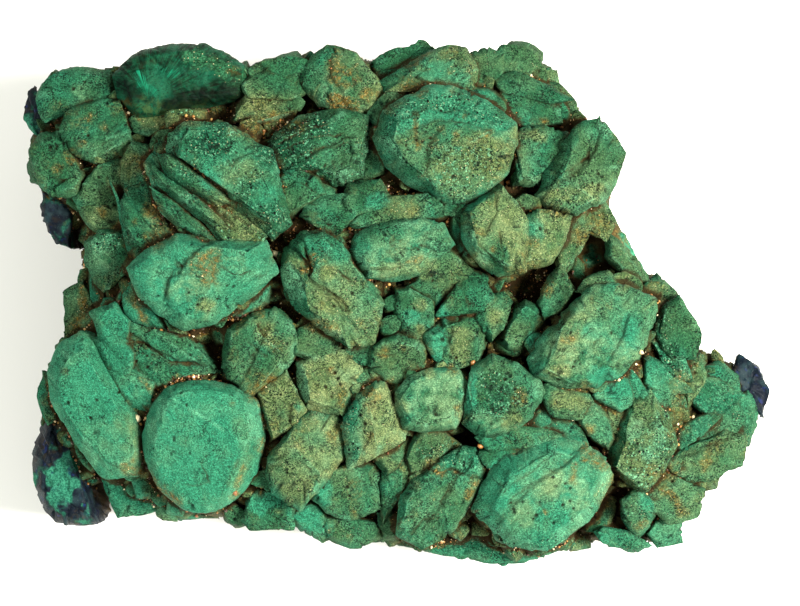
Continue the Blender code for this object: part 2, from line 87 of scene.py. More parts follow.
# %% [markdown]
# ## One plan sheet for the whole cluster
# Every place is given on a plan sheet laid over the crystals, in millimetres, x to the right and y down. The
# sheet leans 12 degrees towards the front. Two small functions turn sheet places into standing ones and
# back, so that heights, slopes and hollows can be worked out on the sheet, where they are simple.

# %% The plan sheet
MM = 0.001
LEAN = math.radians(12.0)
SHEET_CENTRE = np.array((39.5, 30.3))
SHEET_ZERO = np.array((-0.04, 2.94, -0.07))
TURN = np.array(((1.0, 0.0, 0.0),
                 (0.0, math.cos(LEAN), -math.sin(LEAN)),
                 (0.0, math.sin(LEAN), math.cos(LEAN))))


def stand(points):
    """Sheet places to standing places: turn by the lean, then move to the sheet's zero."""
    return points @ TURN.T + SHEET_ZERO


def lay(points):
    """Standing places back to the sheet: the same steps undone in the other order."""
    return (points - SHEET_ZERO) @ TURN


print("sheet leans", round(math.degrees(LEAN), 1), "degrees")

# %% [markdown]
# ## Noise made by hand
# Rock is never smooth, so the lesson needs noise that is the same on every run. Value noise gives each
# corner of a cubic lattice a fixed random height and blends smoothly between the eight corners around a
# point. Cell noise gives each cube of space one random seed point, and measures how far the nearest seed is:
# it makes grains and pits.

# %% Noise on whole arrays
def lattice_value(x, y, z, seed):
    """A fixed random number from 0 to 1 for each lattice corner: the three whole numbers and the seed are
    multiplied by large odd numbers and their bits are mixed."""
    mixed = (x.astype(np.uint32) * np.uint32(374761393) + y.astype(np.uint32) * np.uint32(668265263)
             + z.astype(np.uint32) * np.uint32(2246822519) + np.uint32(seed * 3266489917 % 4294967296))
    mixed = (mixed ^ (mixed >> np.uint32(15))) * np.uint32(2246822519)
    mixed = (mixed ^ (mixed >> np.uint32(13))) * np.uint32(3266489917)
    return ((mixed ^ (mixed >> np.uint32(16))) >> np.uint32(8)).astype(np.float32) / np.float32(16777216.0)


def noise(points, size, seed):
    """Value noise from -1 to 1: corner values blended by 3t*t - 2t*t*t along each axis in turn."""
    scaled = points / size + 1000.0
    whole = np.floor(scaled).astype(np.int64)
    part = (scaled - whole).astype(np.float32)
    part = part * part * (3.0 - 2.0 * part)
    x, y, z = whole[:, 0], whole[:, 1], whole[:, 2]
    total = np.zeros(len(points), np.float32)
    for step in range(8):
        right, back, up = step & 1, step >> 1 & 1, step >> 2 & 1
        weight = (part[:, 0] if right else 1.0 - part[:, 0]) * (part[:, 1] if back else 1.0 - part[:, 1])
        weight = weight * (part[:, 2] if up else 1.0 - part[:, 2])
        total += weight * lattice_value(x + right, y + back, z + up, seed)
    return total * 2.0 - 1.0


def rough(points, size, octaves, seed):
    """Layered noise: each layer has half the size and half the strength of the one before."""
    return sum(noise(points, size * 0.5 ** k, seed + k) * 0.5 ** k for k in range(octaves))


def cells(points, size, seed):
    """Cell noise: distances to the nearest and second seed point in cell units, the way from the nearest seed
    to the point, and the nearest seed's own whole-number place (which later picks random numbers for it)."""
    scaled = points / size + 1000.0
    whole = np.floor(scaled).astype(np.int64)
    part = (scaled - whole).astype(np.float32)
    near = np.full(len(points), 9.0, np.float32)
    second = near.copy()
    way = np.zeros((len(points), 3), np.float32)
    home = np.zeros((len(points), 3), np.int64)
    for step in range(27):
        move = np.array((step % 3 - 1, step // 3 % 3 - 1, step // 9 - 1))
        place = whole + move
        x, y, z = place.T
        seeds = np.stack([lattice_value(x, y, z, seed + k) for k in range(3)], 1)
        apart = part - move.astype(np.float32) - seeds
        away = (apart * apart).sum(1)
        closer = away < near
        second = np.where(closer, near, np.minimum(second, away))
        near = np.where(closer, away, near)
        way[closer] = apart[closer]
        home[closer] = place[closer]
    return np.sqrt(near), np.sqrt(second), way, home


def owner_value(home, seed):
    """A random number from 0 to 1 that belongs to a cell."""
    return lattice_value(home[:, 0], home[:, 1], home[:, 2], seed)


def facets(points, size, seed, step, slope, crack):
    """A broken surface: each cell has its own height and its own tilt, with a crack along its border.
    Height = step * random + slope * (way . random tilt) - crack * (1 where the two nearest seeds tie)."""
    near, second, way, home = cells(points, size, seed)
    tilt = np.stack([owner_value(home, seed + 7 + k) for k in range(3)], 1) * 2.0 - 1.0
    height = step * (owner_value(home, seed + 5) - 0.5) + slope * (way * tilt).sum(1)
    return height - crack * ramp(0.13 - (second - near), 0.0, 0.13)


def ramp(value, low, high):
    """0 below low, 1 above high, and the smooth curve 3t*t - 2t*t*t between."""
    t = np.clip((value - low) / (high - low), 0.0, 1.0)
    return t * t * (3.0 - 2.0 * t)


probe = rough(np.random.default_rng(1).uniform(0, 40, (2000, 3)), 4.0, 3, 5)
print("noise runs from", round(float(probe.min()), 2), "to", round(float(probe.max()), 2))

# %% [markdown]
# ## A soft crystal from a few facets
# A crystal is the space inside a set of planes. Seen from a point inside, a ray meets the nearest plane:
# that gives razor edges. If the planes' shares are added with a high power instead, the edges round off by
# an amount that the power sets, as on a crystal that has been replaced grain by grain. The surface is one
# grid of two parameters. The grid's square rings are wrapped round the crystal from its top centre, down its
# sides, to one point underneath, so most of the grid lies where it shows.

# %% Facets of a solid
def distinct(normals, distances):
    """One plane for each facet: triangles whose rounded normal and distance agree are one plane."""
    keys = np.round(np.c_[normals * 30.0, distances[:, None] * 8.0])
    first = np.unique(keys, axis=0, return_index=True)[1]
    return normals[first], distances[first]


def node_facets(name):
    """The facet planes and corners of a solid, on the sheet: normal = cross product of two edges."""
    mesh = frame["nodes"][name].data
    corners = np.empty(len(mesh.vertices) * 3)
    mesh.vertices.foreach_get("co", corners)
    corners = lay(corners.reshape(-1, 3) / MM)
    mesh.calc_loop_triangles()
    triangles = np.empty(len(mesh.loop_triangles) * 3, np.int32)
    mesh.loop_triangles.foreach_get("vertices", triangles)
    a, b, c = (corners[triangles.reshape(-1, 3)[:, k]] for k in range(3))
    cross = np.cross(b - a, c - a)
    size = np.linalg.norm(cross, axis=1)
    real = size > 1e-3
    normals = cross[real] / size[real, None]
    distances = (normals * a[real]).sum(1)
    return (*distinct(normals, distances), corners)


def inner_point(normals, distances, corners):
    """The highest point over the middle that still keeps clear of every facet."""
    middle = corners.mean(0)
    width = np.ptp(corners[:, :2], axis=0).min()
    heights = np.linspace(0.0, corners[:, 2].max() - middle[2], 24)
    good = middle
    for height in heights:
        point = middle + (0.0, 0.0, height)
        if (distances - normals @ point).min() > 0.24 * width:
            good = point
    return good


def wrapped_grid(count, top_share=0.70, side_share=0.24):
    """Square rings of (u, v) from -1 to 1 wrapped on a round can: the ring number max(|u|, |v|) runs over the
    lid, then down the wall, then under to one point. Gives radius share, height share, turn angle."""
    line = np.linspace(-1.0, 1.0, count)
    u, v = np.meshgrid(line, line)
    ring = np.maximum(np.abs(u), np.abs(v))
    wide = np.abs(u) >= np.abs(v)
    quarter = math.pi / 4
    sideways = quarter * v / np.where(wide & (u != 0.0), u, 1.0) + np.where(u < 0, math.pi, 0.0)
    endways = math.pi / 2 * np.sign(v) - quarter * u / np.where(wide, 1.0, v)
    turn = np.where(wide, sideways, endways)
    turn = np.where(ring == 0.0, 0.0, turn)
    wall = np.clip((ring - top_share) / side_share, 0.0, 1.0)
    under = np.clip((ring - top_share - side_share) / (1.0 - top_share - side_share), 0.0, 1.0)
    radius = np.minimum(ring / top_share, 1.0) * (1.0 - under)
    return radius.ravel(), wall.ravel(), turn.ravel()


def wrapped_faces(count):
    """Faces of the wrapped grid: its whole border is one point, so border squares become triangles."""
    index = np.arange(count * count).reshape(count, count)
    border = np.ones((count, count), bool)
    border[1:-1, 1:-1] = False
    index[border] = 0
    quads = np.stack((index[:-1, :-1], index[:-1, 1:], index[1:, 1:], index[1:, :-1]), -1).reshape(-1, 4)
    zeros = (quads == 0).sum(1)
    whole = quads[zeros <= 1]
    edge = quads[zeros == 2]
    start = np.argmax((edge == 0) & (np.roll(edge, -1, axis=1) == 0), axis=1)
    rolled = np.take_along_axis(edge, (start[:, None] + np.arange(4)) % 4, axis=1)
    triangles = np.concatenate((whole[:, (0, 1, 2)], whole[:, (0, 2, 3)], rolled[:, (1, 2, 3)]))
    used, renamed = np.unique(triangles, return_inverse=True)
    return used, renamed.reshape(-1, 3)


def soft_block(normals, distances, corners, spacing, power):
    """Points r * d from an inner point: d runs over the wrapped grid, r = (sum (n.d / h)^p)^(-1/p).
    Returns the points, their outward normals, how near each is to an edge (0 to 1), the faces, and the
    direction in which the crystal is longest."""
    centre = inner_point(normals, distances, corners)
    flat = corners[:, :2] - centre[:2]
    axes = np.linalg.eigh(np.cov(flat.T))[1]
    half = np.abs(flat @ axes).max(0)
    top, bottom = corners[:, 2].max() - centre[2], corners[:, 2].min() - centre[2]
    count = int(np.clip(2.0 * half.mean() / spacing / 0.70, 18, 260))
    radius, wall, turn = wrapped_grid(count)
    used, faces = wrapped_faces(count)
    across = np.stack((np.cos(turn), np.sin(turn)), 1) * radius[:, None] * half @ axes.T
    ray = np.c_[across, top + (bottom - top) * wall][used]
    ray /= np.linalg.norm(ray, axis=1)[:, None]
    reach = np.maximum(distances - normals @ centre, 0.2)
    share = np.maximum(ray @ normals.T, 0.0) / reach
    strength = share ** power
    length = strength.sum(1) ** (-1.0 / power)
    outward = (strength / np.maximum(share, 1e-9) / reach) @ normals
    outward /= np.linalg.norm(outward, axis=1)[:, None]
    leaders = np.partition(share, -2, axis=1)[:, -2:]
    edge = leaders[:, 0] / np.maximum(leaders[:, 1], 1e-9)
    side = np.cross(ray[faces[:, 1]] - ray[faces[:, 0]], ray[faces[:, 2]] - ray[faces[:, 0]])
    if (side * ray[faces[:, 0]]).sum() < 0.0:
        faces = faces[:, ::-1]
    return centre + ray * length[:, None], outward, edge, faces, np.append(axes[:, 1], 0.0)


test = soft_block(*node_facets("crystal_top_great"), 0.2, 12.0)
print("one crystal has", len(test[0]), "points and", len(test[3]), "triangles")

# %% [markdown]
# ## The relief of a crystal's skin
# Four things roughen these crystals. Broad waves bend the facets. Growth layers end in low broken cliffs.
# Fine grains stand up all over like sugar. Pinholes sink between the grains. Each is one simple formula, and
# the relief is their sum, pushed out along the surface's own direction.

# %% Relief formulas
def cliffs(level):
    """A staircase minus its slope: each tread sinks slowly and the next one rises in a short cliff."""
    part = level - np.floor(level)
    return ramp(part, 0.78, 1.0) - part


def skin(points, outward, long_way, look, seed):
    """Relief in millimetres: waves + broken facets + growth cliffs + side plates + grains - pits. Also gives
    the pits' depth. Facets and cliffs are drawn out along the crystal's long way."""
    shifted = points + seed * 7.3
    drawn = shifted - 0.45 * (shifted @ long_way)[:, None] * long_way
    waves = 0.12 * noise(shifted, 3.2, 11) + 0.07 * noise(shifted, 1.4, 12)
    bent = drawn + 0.22 * np.stack([noise(shifted, 1.7, 13 + k) for k in range(3)], 1)
    broken = facets(bent, 3.4, 61, 0.28, 0.62, 0.10) + facets(bent, 1.3, 81, 0.09, 0.14, 0.06)
    broken *= 0.45 + 0.55 * ramp(outward[:, 2], 0.1, 0.7)
    level = 1.7 * rough(shifted, 4.5, 2, 21) + (shifted @ look["grain_axis"]) / look["layer_pitch"]
    layers = look["layers"] * cliffs(level)
    axis = look["plate_axis"]
    side_on = ramp(1.0 - np.abs(outward @ axis), 0.05, 0.55)
    plate_level = shifted @ axis / look["plate_pitch"] + 0.30 * noise(shifted, 4.0, 31)
    part = plate_level - np.floor(plate_level)
    plates = -look["plates"] * side_on * (ramp(part, 0.55, 0.86) - ramp(part, 0.90, 1.0))
    near, _, _, home = cells(shifted, 0.50, 41)
    grains = 0.035 * (0.5 - near) + 0.03 * noise(shifted, 0.31, 45)
    gritty = 0.55 + 0.45 * ramp(noise(shifted, 4.0, 51), -0.4, 0.5)
    pitted = ramp(rough(shifted, 2.4, 2, 55), -0.25, 0.65)
    hole = ramp(0.40 + 0.18 * noise(shifted, 0.4, 57) - near, 0.0, 0.22)
    hole = hole * (owner_value(home, 44) < look["pits"] * pitted)
    relief = waves + look["blocky"] * broken + layers + plates + gritty * grains - 0.22 * hole
    return relief, hole


print("one cliff in three steps:", np.round(cliffs(np.array((0.0, 0.5, 0.9))), 2))

# %% [markdown]
# ## Cracks and steps with places of their own
# Some crystals carry marks that noise can't give: a plate's edge across the top, an open crease, a stepped
# side. They could be cut into the solids, but a cut facet is too sharp, so each is a path on the plan sheet
# instead. A crack sinks along its path. A step lowers the right-hand side of its path, as seen when walking
# along it, and the drop fades out again. A path's numbers run x, y, x, y, and so on.

# %% Distance to a path
def pairs(numbers):
    """A flat run of numbers x, y, x, y, ... as one place in each row."""
    return np.array(numbers, float).reshape(-1, 2)


def path_distance(places, path):
    """Distance to a path, the signed distance to the right of it, and the distance from its nearer end. On
    each segment the nearest place is start + t * (end - start), with t the share of the way, from 0 to 1."""
    path = pairs(path)
    nearest = np.full(len(places), 1e9)
    side = np.zeros(len(places))
    to_end = np.minimum(*(np.hypot(*(places - path[k]).T) for k in (0, -1)))
    for start, end in zip(path[:-1], path[1:]) if len(path) > 1 else ((path[0], path[0] + 1e-6),):
        way = end - start
        t = np.clip((places - start) @ way / (way @ way), 0.0, 1.0)
        apart = places - start - t[:, None] * way
        away = np.hypot(apart[:, 0], apart[:, 1])
        across = (places - start) @ np.array((-way[1], way[0])) / np.hypot(way[0], way[1])
        closer = away < nearest
        nearest = np.where(closer, away, nearest)
        side = np.where(closer, across, side)
    return nearest, side, to_end


def on_sheet(points):
    """Plan-sheet x and y of each point, with y down, bent a little so that no path runs dead straight."""
    places = points[:, :2] * (1.0, -1.0) + SHEET_CENTRE
    bends = [0.20 * noise(points, 1.2, 401 + k) + 0.10 * noise(points, 0.5, 403 + k) for k in (0, 1)]
    return places + np.stack(bends, 1)


print("from (1, 1) to a path along x:", path_distance(np.ones((1, 2)), (0, 0, 4, 0))[0][0])

# %% Cracks and steps
# Each row: depth and width of a crack, or depth and reach of a step, then x, y of each point of its path
CRACKS = {
    "plate_stack_upper": [(0.35, 0.22, 18, 15.9, 19.3, 16.8, 21.4, 18.3, 22.4, 19)],
    "plate_stack_middle": [(0.35, 0.25, 21, 19.8, 22.6, 20.8, 24.4, 22.2, 25.4, 23.4)],
    "plate_stack_lower": [(0.45, 0.28, 16.3, 17.6, 18.5, 19.6, 20.4, 21.4, 21.4, 22.6)],
    "crystal_top_great": [(0.2, 0.2, 44.5, 12, 46, 12.4, 47.2, 12.5),
        (0.15, 0.22, 41.5, 11.5, 41.6, 13.2, 41.8, 15)],
    "crystal_left_great": [(0.25, 0.2, 21.5, 26.5, 22.6, 27, 24, 27.8), (0.2, 0.2, 25, 28.5, 26.8, 27.3)],
    "crystal_pillow_front_left": [(0.12, 0.18, 20.9, 45.3, 20.2, 46.5, 20.9, 48, 19.6, 48.4, 18.2, 48.3),
        (0.1, 0.16, 23.9, 45, 23.6, 46.6, 22.9, 47.6)],
    "crystal_long_left": [(0.22, 0.22, 14, 42, 14.5, 44, 14.6, 46.4)],
    "triple_plate_centre": [(0.55, 0.34, 30.3, 24.3, 30.8, 26.5, 31.2, 28, 34, 30, 35.2, 31.4),
        (0.35, 0.26, 31.8, 24.5, 32.6, 25.6, 33.6, 26.3), (0.35, 0.26, 33.4, 26.8, 34.4, 27.6, 35.6, 28.4)],
    "crystal_pale_oval": [(0.22, 0.22, 42.4, 23, 43, 23.6), (0.18, 0.2, 38, 21.9, 39.6, 22.2)],
    "crystal_small_arch": [(0.3, 0.25, 42.4, 21.6, 43.4, 22.4, 44.2, 22.9)],
    "crystal_ridged_block": [(0.22, 0.2, 46.6, 20.6, 47.2, 21.6, 47.8, 22.4),
        (0.3, 0.2, 49.9, 22.4, 50.1, 24.4, 50, 26.8), (0.18, 0.2, 47.3, 23.8, 48.4, 25.2, 49.6, 26.6)],
    "crystal_right_long": [(0.3, 0.18, 54.4, 32.6, 56, 31.5, 58.2, 30, 59.4, 29.2),
        (0.25, 0.16, 54.2, 33.4, 56.6, 31.9, 58, 31), (0.22, 0.14, 60.1, 34.2, 61, 33.6),
        (0.2, 0.2, 55.8, 33.4, 57.4, 32.6)],
    "crystal_front_great": [(0.12, 0.22, 49.6, 49.5, 52.4, 47.6, 55, 45.4),
        (0.14, 0.22, 50.6, 50.2, 53.2, 48.4, 55.8, 46.4), (0.12, 0.2, 52.9, 49.6, 54.4, 51, 55, 51.4)],
    "crystal_round_centre": [(0.15, 0.2, 47.4, 36.9, 47, 38.8, 47, 40.8)],
    "crystal_smooth_box": [(0.2, 0.2, 45.2, 37.2, 46, 38.4)],
    "crystal_front_wedge": [(0.25, 0.22, 41.2, 53.2, 42.4, 52, 44.6, 51.6)],
    "crystal_diagonal_ridge": [(0.3, 0.24, 29.9, 46, 31, 47, 32, 46.4), (0.16, 0.22, 28.6, 48.6, 29.6, 49.4)],
    "crystal_upper_block": [(0.22, 0.2, 27.6, 14.6, 30.5, 12.9, 33.6, 12.3),
        (0.22, 0.2, 27.9, 15.3, 31, 13.7, 34.8, 13.2), (0.18, 0.2, 29, 16, 32, 14.7, 35.3, 14.2)],
    "crystal_upper_right_great": [(0.25, 0.2, 55.4, 17.6, 57.4, 16.8, 59.2, 15.4)],
    "crystal_fibrous_broken": [(0.35, 0.3, 12.4, 9, 13.6, 8.2, 14.6, 9.2)],
    "crystal_left_smooth": [(0.1, 0.2, 11.2, 27.4, 11.6, 26.6, 12.6, 26.4)],
    "crystal_side_low_left": [(0.2, 0.22, 12, 33.8, 14, 34.4, 17, 35.6)],
    "crystal_mid_left": [(0.22, 0.22, 24.4, 33.6, 25.6, 35.2, 27.2, 35.8)],
    "crystal_low_centre": [(0.2, 0.2, 43.6, 32.6, 44.8, 33.8, 45.4, 35.8)],
}
STEPS = {
    "plate_stack_upper": [(0.6, 2.4, 16.9, 15, 18, 15.7, 20.4, 17.3, 21.8, 18.4, 23.6, 19.6),
        (0.35, 2.2, 26.2, 15, 24.6, 15.9, 22.8, 17)],
    "plate_stack_middle": [(0.45, 1.4, 19.8, 19.3, 22.3, 21.2, 24.2, 23.2)],
    "plate_stack_lower": [(0.55, 1.4, 15.7, 18.2, 16.8, 19.4, 19.3, 20.9, 21, 22.1, 22.5, 23.7)],
    "crystal_top_great": [(0.45, 1.6, 50, 12.9, 46.6, 11.4, 43, 11.1, 40, 12.2),
        (0.3, 1, 50.2, 14, 47, 12.6, 43.6, 12.3, 40.4, 13.4),
        (0.35, 3, 44.8, 12.6, 43, 14.5, 42.8, 17.5, 43.6, 19.6)],
    "crystal_left_great": [(0.35, 2.2, 20.7, 24.9, 18.9, 26.2, 18.2, 27.6, 17.1, 28, 17, 29.6, 17.4, 30.4)],
    "crystal_upper_block": [(0.4, 2.6, 35.8, 13.4, 33, 14.6, 30, 16.4)],
    "triple_plate_centre": [(0.45, 2.2, 30.5, 24.6, 31.3, 28, 34, 30.2, 35, 31.6)],
    "crystal_right_long": [(0.3, 0.9, 60.2, 29.4, 58.4, 30.6, 56.2, 32.2, 54.4, 33.8),
        (0.3, 2, 62.6, 29.2, 63, 31.4, 62.2, 34, 60.6, 36.6)],
    "crystal_front_great": [(0.35, 3, 58.4, 45, 55.6, 47, 53, 49, 50.8, 51.4)],
    "crystal_ridged_block": [(0.3, 1.6, 49.4, 18.9, 50.6, 20.6, 51.6, 22.4)],
    "crystal_pale_oval": [(0.25, 1.4, 36.2, 26.9, 39, 27, 41.8, 26.2, 43.4, 24.9)],
    "crystal_olive_right": [(0.35, 2, 62.4, 43, 64.2, 42.2, 65.2, 41)],
    "crystal_upper_right_great": [(0.45, 2.4, 60.6, 12.6, 59.6, 15.2, 57.6, 17.6, 55.4, 19.2)],
    "crystal_ridge_stained": [(0.45, 2, 33.5, 5.2, 33.4, 7.4, 34.6, 9.6, 35.4, 11.4)],
    "crystal_mid_left": [(0.35, 2, 27.2, 32, 26.4, 34, 25.4, 36.4, 24.4, 38.2)],
    "crystal_side_low_left": [(0.35, 2, 12.4, 32.6, 15, 34.8, 18.6, 36, 21.6, 36.4)],
    "crystal_low_centre": [(0.3, 1.5, 46, 32.2, 45, 34, 44.4, 36.2)],
    "crystal_front_wedge": [(0.4, 2, 47.6, 45.8, 45.8, 48, 44.4, 50.4, 42.4, 53)],
    "crystal_right_olive_block": [(0.4, 1.6, 74, 43.6, 71, 45.2, 68, 46)],
}


def marked(name, points):
    """Depth of all the named crystal's cracks and steps, and how near each point is to one of their lines: a
    crack's depth is sink * ramp(1 - distance / width), a step's fades from its path to its reach."""
    places = on_sheet(points)
    depth, line = np.zeros(len(points)), np.zeros(len(points))
    for sink, width, *path in CRACKS.get(name, ()):
        apart, _, to_end = path_distance(places, path)
        open_share = ramp(to_end, 0.0, 0.9) * (0.65 + 0.35 * noise(points, 0.8, 405))
        depth += sink * open_share * (1.0 - ramp(apart, 0.0, width))
        line = np.maximum(line, 0.75 * open_share * (1.0 - ramp(apart, 0.15 * width, 0.75 * width)))
    for sink, fall, *path in STEPS.get(name, ()):
        apart, side, to_end = path_distance(places, path)
        open_share = ramp(to_end, 0.0, 1.2)
        depth += sink * open_share * ramp(side, -0.05, 0.30) * (1.0 - ramp(apart, 0.1 * fall, fall))
        foot = 1.0 - ramp(np.abs(apart - 0.16), 0.02, 0.24)
        line = np.maximum(line, 0.30 * open_share * foot * (side > -0.1))
    return depth, line


print("marked crystals:", len(set(CRACKS) | set(STEPS)))

# %% [markdown]
# ## How each crystal looks
# Most crystals share one look. Some differ, and the table says how: more olive, more rust, paler, pitted, or
# built of plates. `grain_axis` is the direction that growth layers climb, `plate_axis` the direction across
# the plates. `power` sets how sharp the edges are, and `blocky` how strongly the facets are broken.

# %% Looks
def heading(facing, tilt):
    """A unit direction on the sheet: `facing` degrees round from +x, `tilt` degrees away from straight up."""
    side = math.sin(math.radians(tilt))
    return np.array((side * math.cos(math.radians(facing)), side * math.sin(math.radians(facing)),
                     math.cos(math.radians(tilt))))


COMMON = dict(olive=0.45, rust=0.30, pale=0.30, dark=0.0, teal=0.25, pits=0.30, blocky=0.60,
              layers=0.13, layer_pitch=2.6, grain_axis=heading(40, 65), plates=0.14, plate_pitch=1.15,
              plate_axis=heading(60, 14), power=110.0)
LOOKS = {
    "plate_stack_upper": dict(dark=0.8, pits=0.75, olive=0.1, rust=0.15, blocky=0.3, plates=0.3,
                              plate_pitch=1.35, power=130.0, plate_axis=heading(52, 36), teal=0.45),
    "plate_stack_middle": dict(dark=0.65, rust=0.5, olive=0.6, blocky=0.3, plates=0.3, plate_pitch=0.9,
                               plate_axis=heading(52, 36), teal=0.4),
    "plate_stack_lower": dict(dark=0.75, blocky=0.3, plates=0.36, plate_pitch=1.2,
                              plate_axis=heading(52, 36), teal=0.6),
    "crystal_top_great": dict(olive=0.5, pits=0.6, rust=0.35, dark=0.2, pale=0.4, teal=0.6, blocky=0.3),
    "crystal_upper_block": dict(dark=0.55, pits=0.75, olive=0.3, teal=0.15, rust=0.15),
    "crystal_left_great": dict(olive=0.22, rust=0.2, pale=0.35, pits=0.16, teal=1.0, blocky=0.4),
    "crystal_pillow_front_left": dict(power=38.0, olive=0.1, rust=0.1, pale=0.2, pits=0.12, layers=0.07,
                                      teal=1.0, blocky=0.22),
    "crystal_long_left": dict(power=42.0, olive=0.35, rust=0.05, pits=0.12, layers=0.08, teal=0.95,
                              blocky=0.25),
    "crystal_side_low_left": dict(olive=0.4, dark=0.25, teal=0.4, pits=0.5),
    "crystal_two_faced": dict(olive=1.0, rust=0.2, pale=0.9, teal=0.5, blocky=0.25),
    "crystal_diagonal_ridge": dict(olive=0.95, pale=0.7, blocky=0.35),
    "crystal_brown_upper": dict(olive=0.9, rust=0.25, pale=1.5),
    "crystal_brown_lower": dict(olive=1.0, rust=0.35, pale=0.6),
    "crystal_smooth_box": dict(rust=0.1, pale=1.0, pits=0.12, layers=0.06, blocky=0.15, teal=0.5),
    "crystal_round_centre": dict(olive=0.3, rust=0.1, pits=0.6, dark=0.1, pale=0.6, blocky=0.25, teal=0.35),
    "crystal_pale_oval": dict(olive=0.35, pale=0.8, pits=0.45, teal=0.5),
    "crystal_right_long": dict(rust=0.15, pale=0.8, plates=0.26, plate_pitch=0.8, layers=0.16, teal=0.4,
                               blocky=0.3),
    "crystal_front_great": dict(olive=0.3, rust=0.15, pale=0.55, layers=0.22, layer_pitch=1.4, teal=0.85,
                                grain_axis=heading(130, 70), blocky=0.35),
    "crystal_front_wedge": dict(olive=0.35, dark=0.2, pits=0.4, rust=0.5, teal=0.5),
    "triple_plate_centre": dict(olive=0.7, plates=0.22, layers=0.2, layer_pitch=2.0, rust=0.4,
                                grain_axis=heading(35, 80), teal=0.4),
    "crystal_olive_right": dict(olive=0.8, pale=0.1, dark=0.65, rust=0.15, pits=0.12, blocky=0.3),
    "crystal_ridge_stained": dict(olive=1.1, rust=1.6, pale=1.2),
    "crystal_ridged_block": dict(olive=0.8, pale=0.5, rust=0.4),
    "crystal_hidden_shoulder": dict(olive=0.8, pale=0.6),
    "crystal_left_shoulder": dict(olive=0.9, rust=0.8, dark=0.25, layers=0.2, layer_pitch=1.2),
    "crystal_top_middle": dict(olive=0.7, rust=0.6, dark=0.15),
    "crystal_right_smooth": dict(dark=1.2, rust=0.0, pale=0.0, pits=0.1, layers=0.05, teal=0.0, blocky=0.25),
    "crystal_right_disc": dict(dark=0.35, rust=0.0, olive=0.1, pits=0.1, layers=0.02, plates=0.0, blocky=0.1,
                               teal=0.4, power=160.0),
    "crystal_bright_small": dict(teal=0.8, olive=0.15, rust=0.1, pale=0.5),
    "crystal_northwest_knob": dict(dark=0.15, olive=0.25, teal=0.5),
    "crystal_fibrous_broken": dict(olive=0.3, rust=0.1, pale=0.0, dark=0.2, teal=-0.3, pits=0.12,
                                   layers=0.12, layer_pitch=1.6, plates=0.05, grain_axis=heading(200, 80)),
    "azurite_left_upper": dict(teal=-0.6, plates=0.1, layers=0.2, power=80.0),
    "azurite_left_point": dict(teal=-0.6, plates=0.1, layers=0.15, power=80.0),
    "azurite_front_left": dict(teal=-0.6, plates=0.1, layers=0.22, power=80.0),
    "azurite_right_point": dict(teal=-0.6, plates=0.1, layers=0.15, power=80.0),
}
print("crystals with a look of their own:", len(LOOKS))

# %% [markdown]
# ## Skin for every large crystal
# Each solid's planes are moved out by a hair, because the solids keep a clear gap to their neighbours and
# the real crystals don't. Then the grid is wrapped, and the relief is added.

# %% Build the skins
TOP_SWELL = 0.00
CROWN_SWELL = 0.55
SIDE_SWELL = 0.36
FINE = 0.155
BED = "matrix_bed"


def build_skin(name, planes, look, seed, spacing=FINE):
    """A dictionary with one crystal's points, faces and surface measures, all on the sheet."""
    normals, distances, corners = planes
    up = normals[:, 2]
    growth = np.where(up > 0.70, TOP_SWELL, np.where(up > 0.35, CROWN_SWELL, SIDE_SWELL))
    block = soft_block(normals, distances + growth, corners, spacing, look["power"])
    points, outward, edge, faces, long_way = block
    relief, hole = skin(points, outward, long_way, look, seed)
    depth, line = marked(name, points)
    return dict(name=name, points=points + outward * (relief - depth)[:, None], outward=outward, edge=edge,
                faces=faces, hole=hole, line=line, look=look)


skins = []
for seed, name in enumerate(sorted(frame["nodes"])):
    if name != BED:
        skins.append(build_skin(name, node_facets(name), {**COMMON, **LOOKS.get(name, {})}, seed + 1))
print("large crystals:", len(skins), "triangles:", sum(len(s["faces"]) for s in skins))

# %% [markdown]
# ## The rock bed
# The bed is seen from above only deep in the gaps, but its walls show from the sides. It gets the same soft
# block, with coarser lumps, hollows and ribs in place of crystal layers, and stays flat where it rests.

# %% Build the bed
def bed_relief(points):
    """Lumps from cell noise at two sizes, plus ribs that follow a bent height line."""
    lumps = cells(points, 4.2, 61)[0]
    knobs = cells(points, 1.5, 65)[0]
    ribs = cliffs(points[:, 2] / 1.3 + 1.1 * rough(points, 6.0, 3, 71))
    grit = 0.10 * rough(points, 0.7, 2, 75)
    return 0.9 * (0.55 - lumps) + 0.40 * (0.5 - knobs) + 0.28 * ribs + grit


def build_bed():
    """The bed's skin: the relief fades out near the cut face, which stays flat."""
    normals, distances, corners = node_facets(BED)
    points, outward, edge, faces, _ = soft_block(normals, distances, corners, 0.42, 22.0)
    standing = stand(points)
    fade = ramp(standing[:, 2], 0.2, 1.6)
    relief = bed_relief(points) * fade
    points = points + outward * relief[:, None]
    return dict(name=BED, points=points, outward=outward, edge=edge, faces=faces,
                hole=np.zeros(len(points)), line=np.zeros(len(points)), look=COMMON)


bed = build_bed()
print("bed triangles:", len(bed["faces"]))

# %% [markdown]
# ## The smaller crystals in the gaps
# Between the large crystals stand smaller ones that are too many for solids of their own. Each is an outline
# on the sheet with a height and a leaning top. Straight planes through the outline's edges lean in upwards
# for the crown and downwards for the root, as on the large ones.

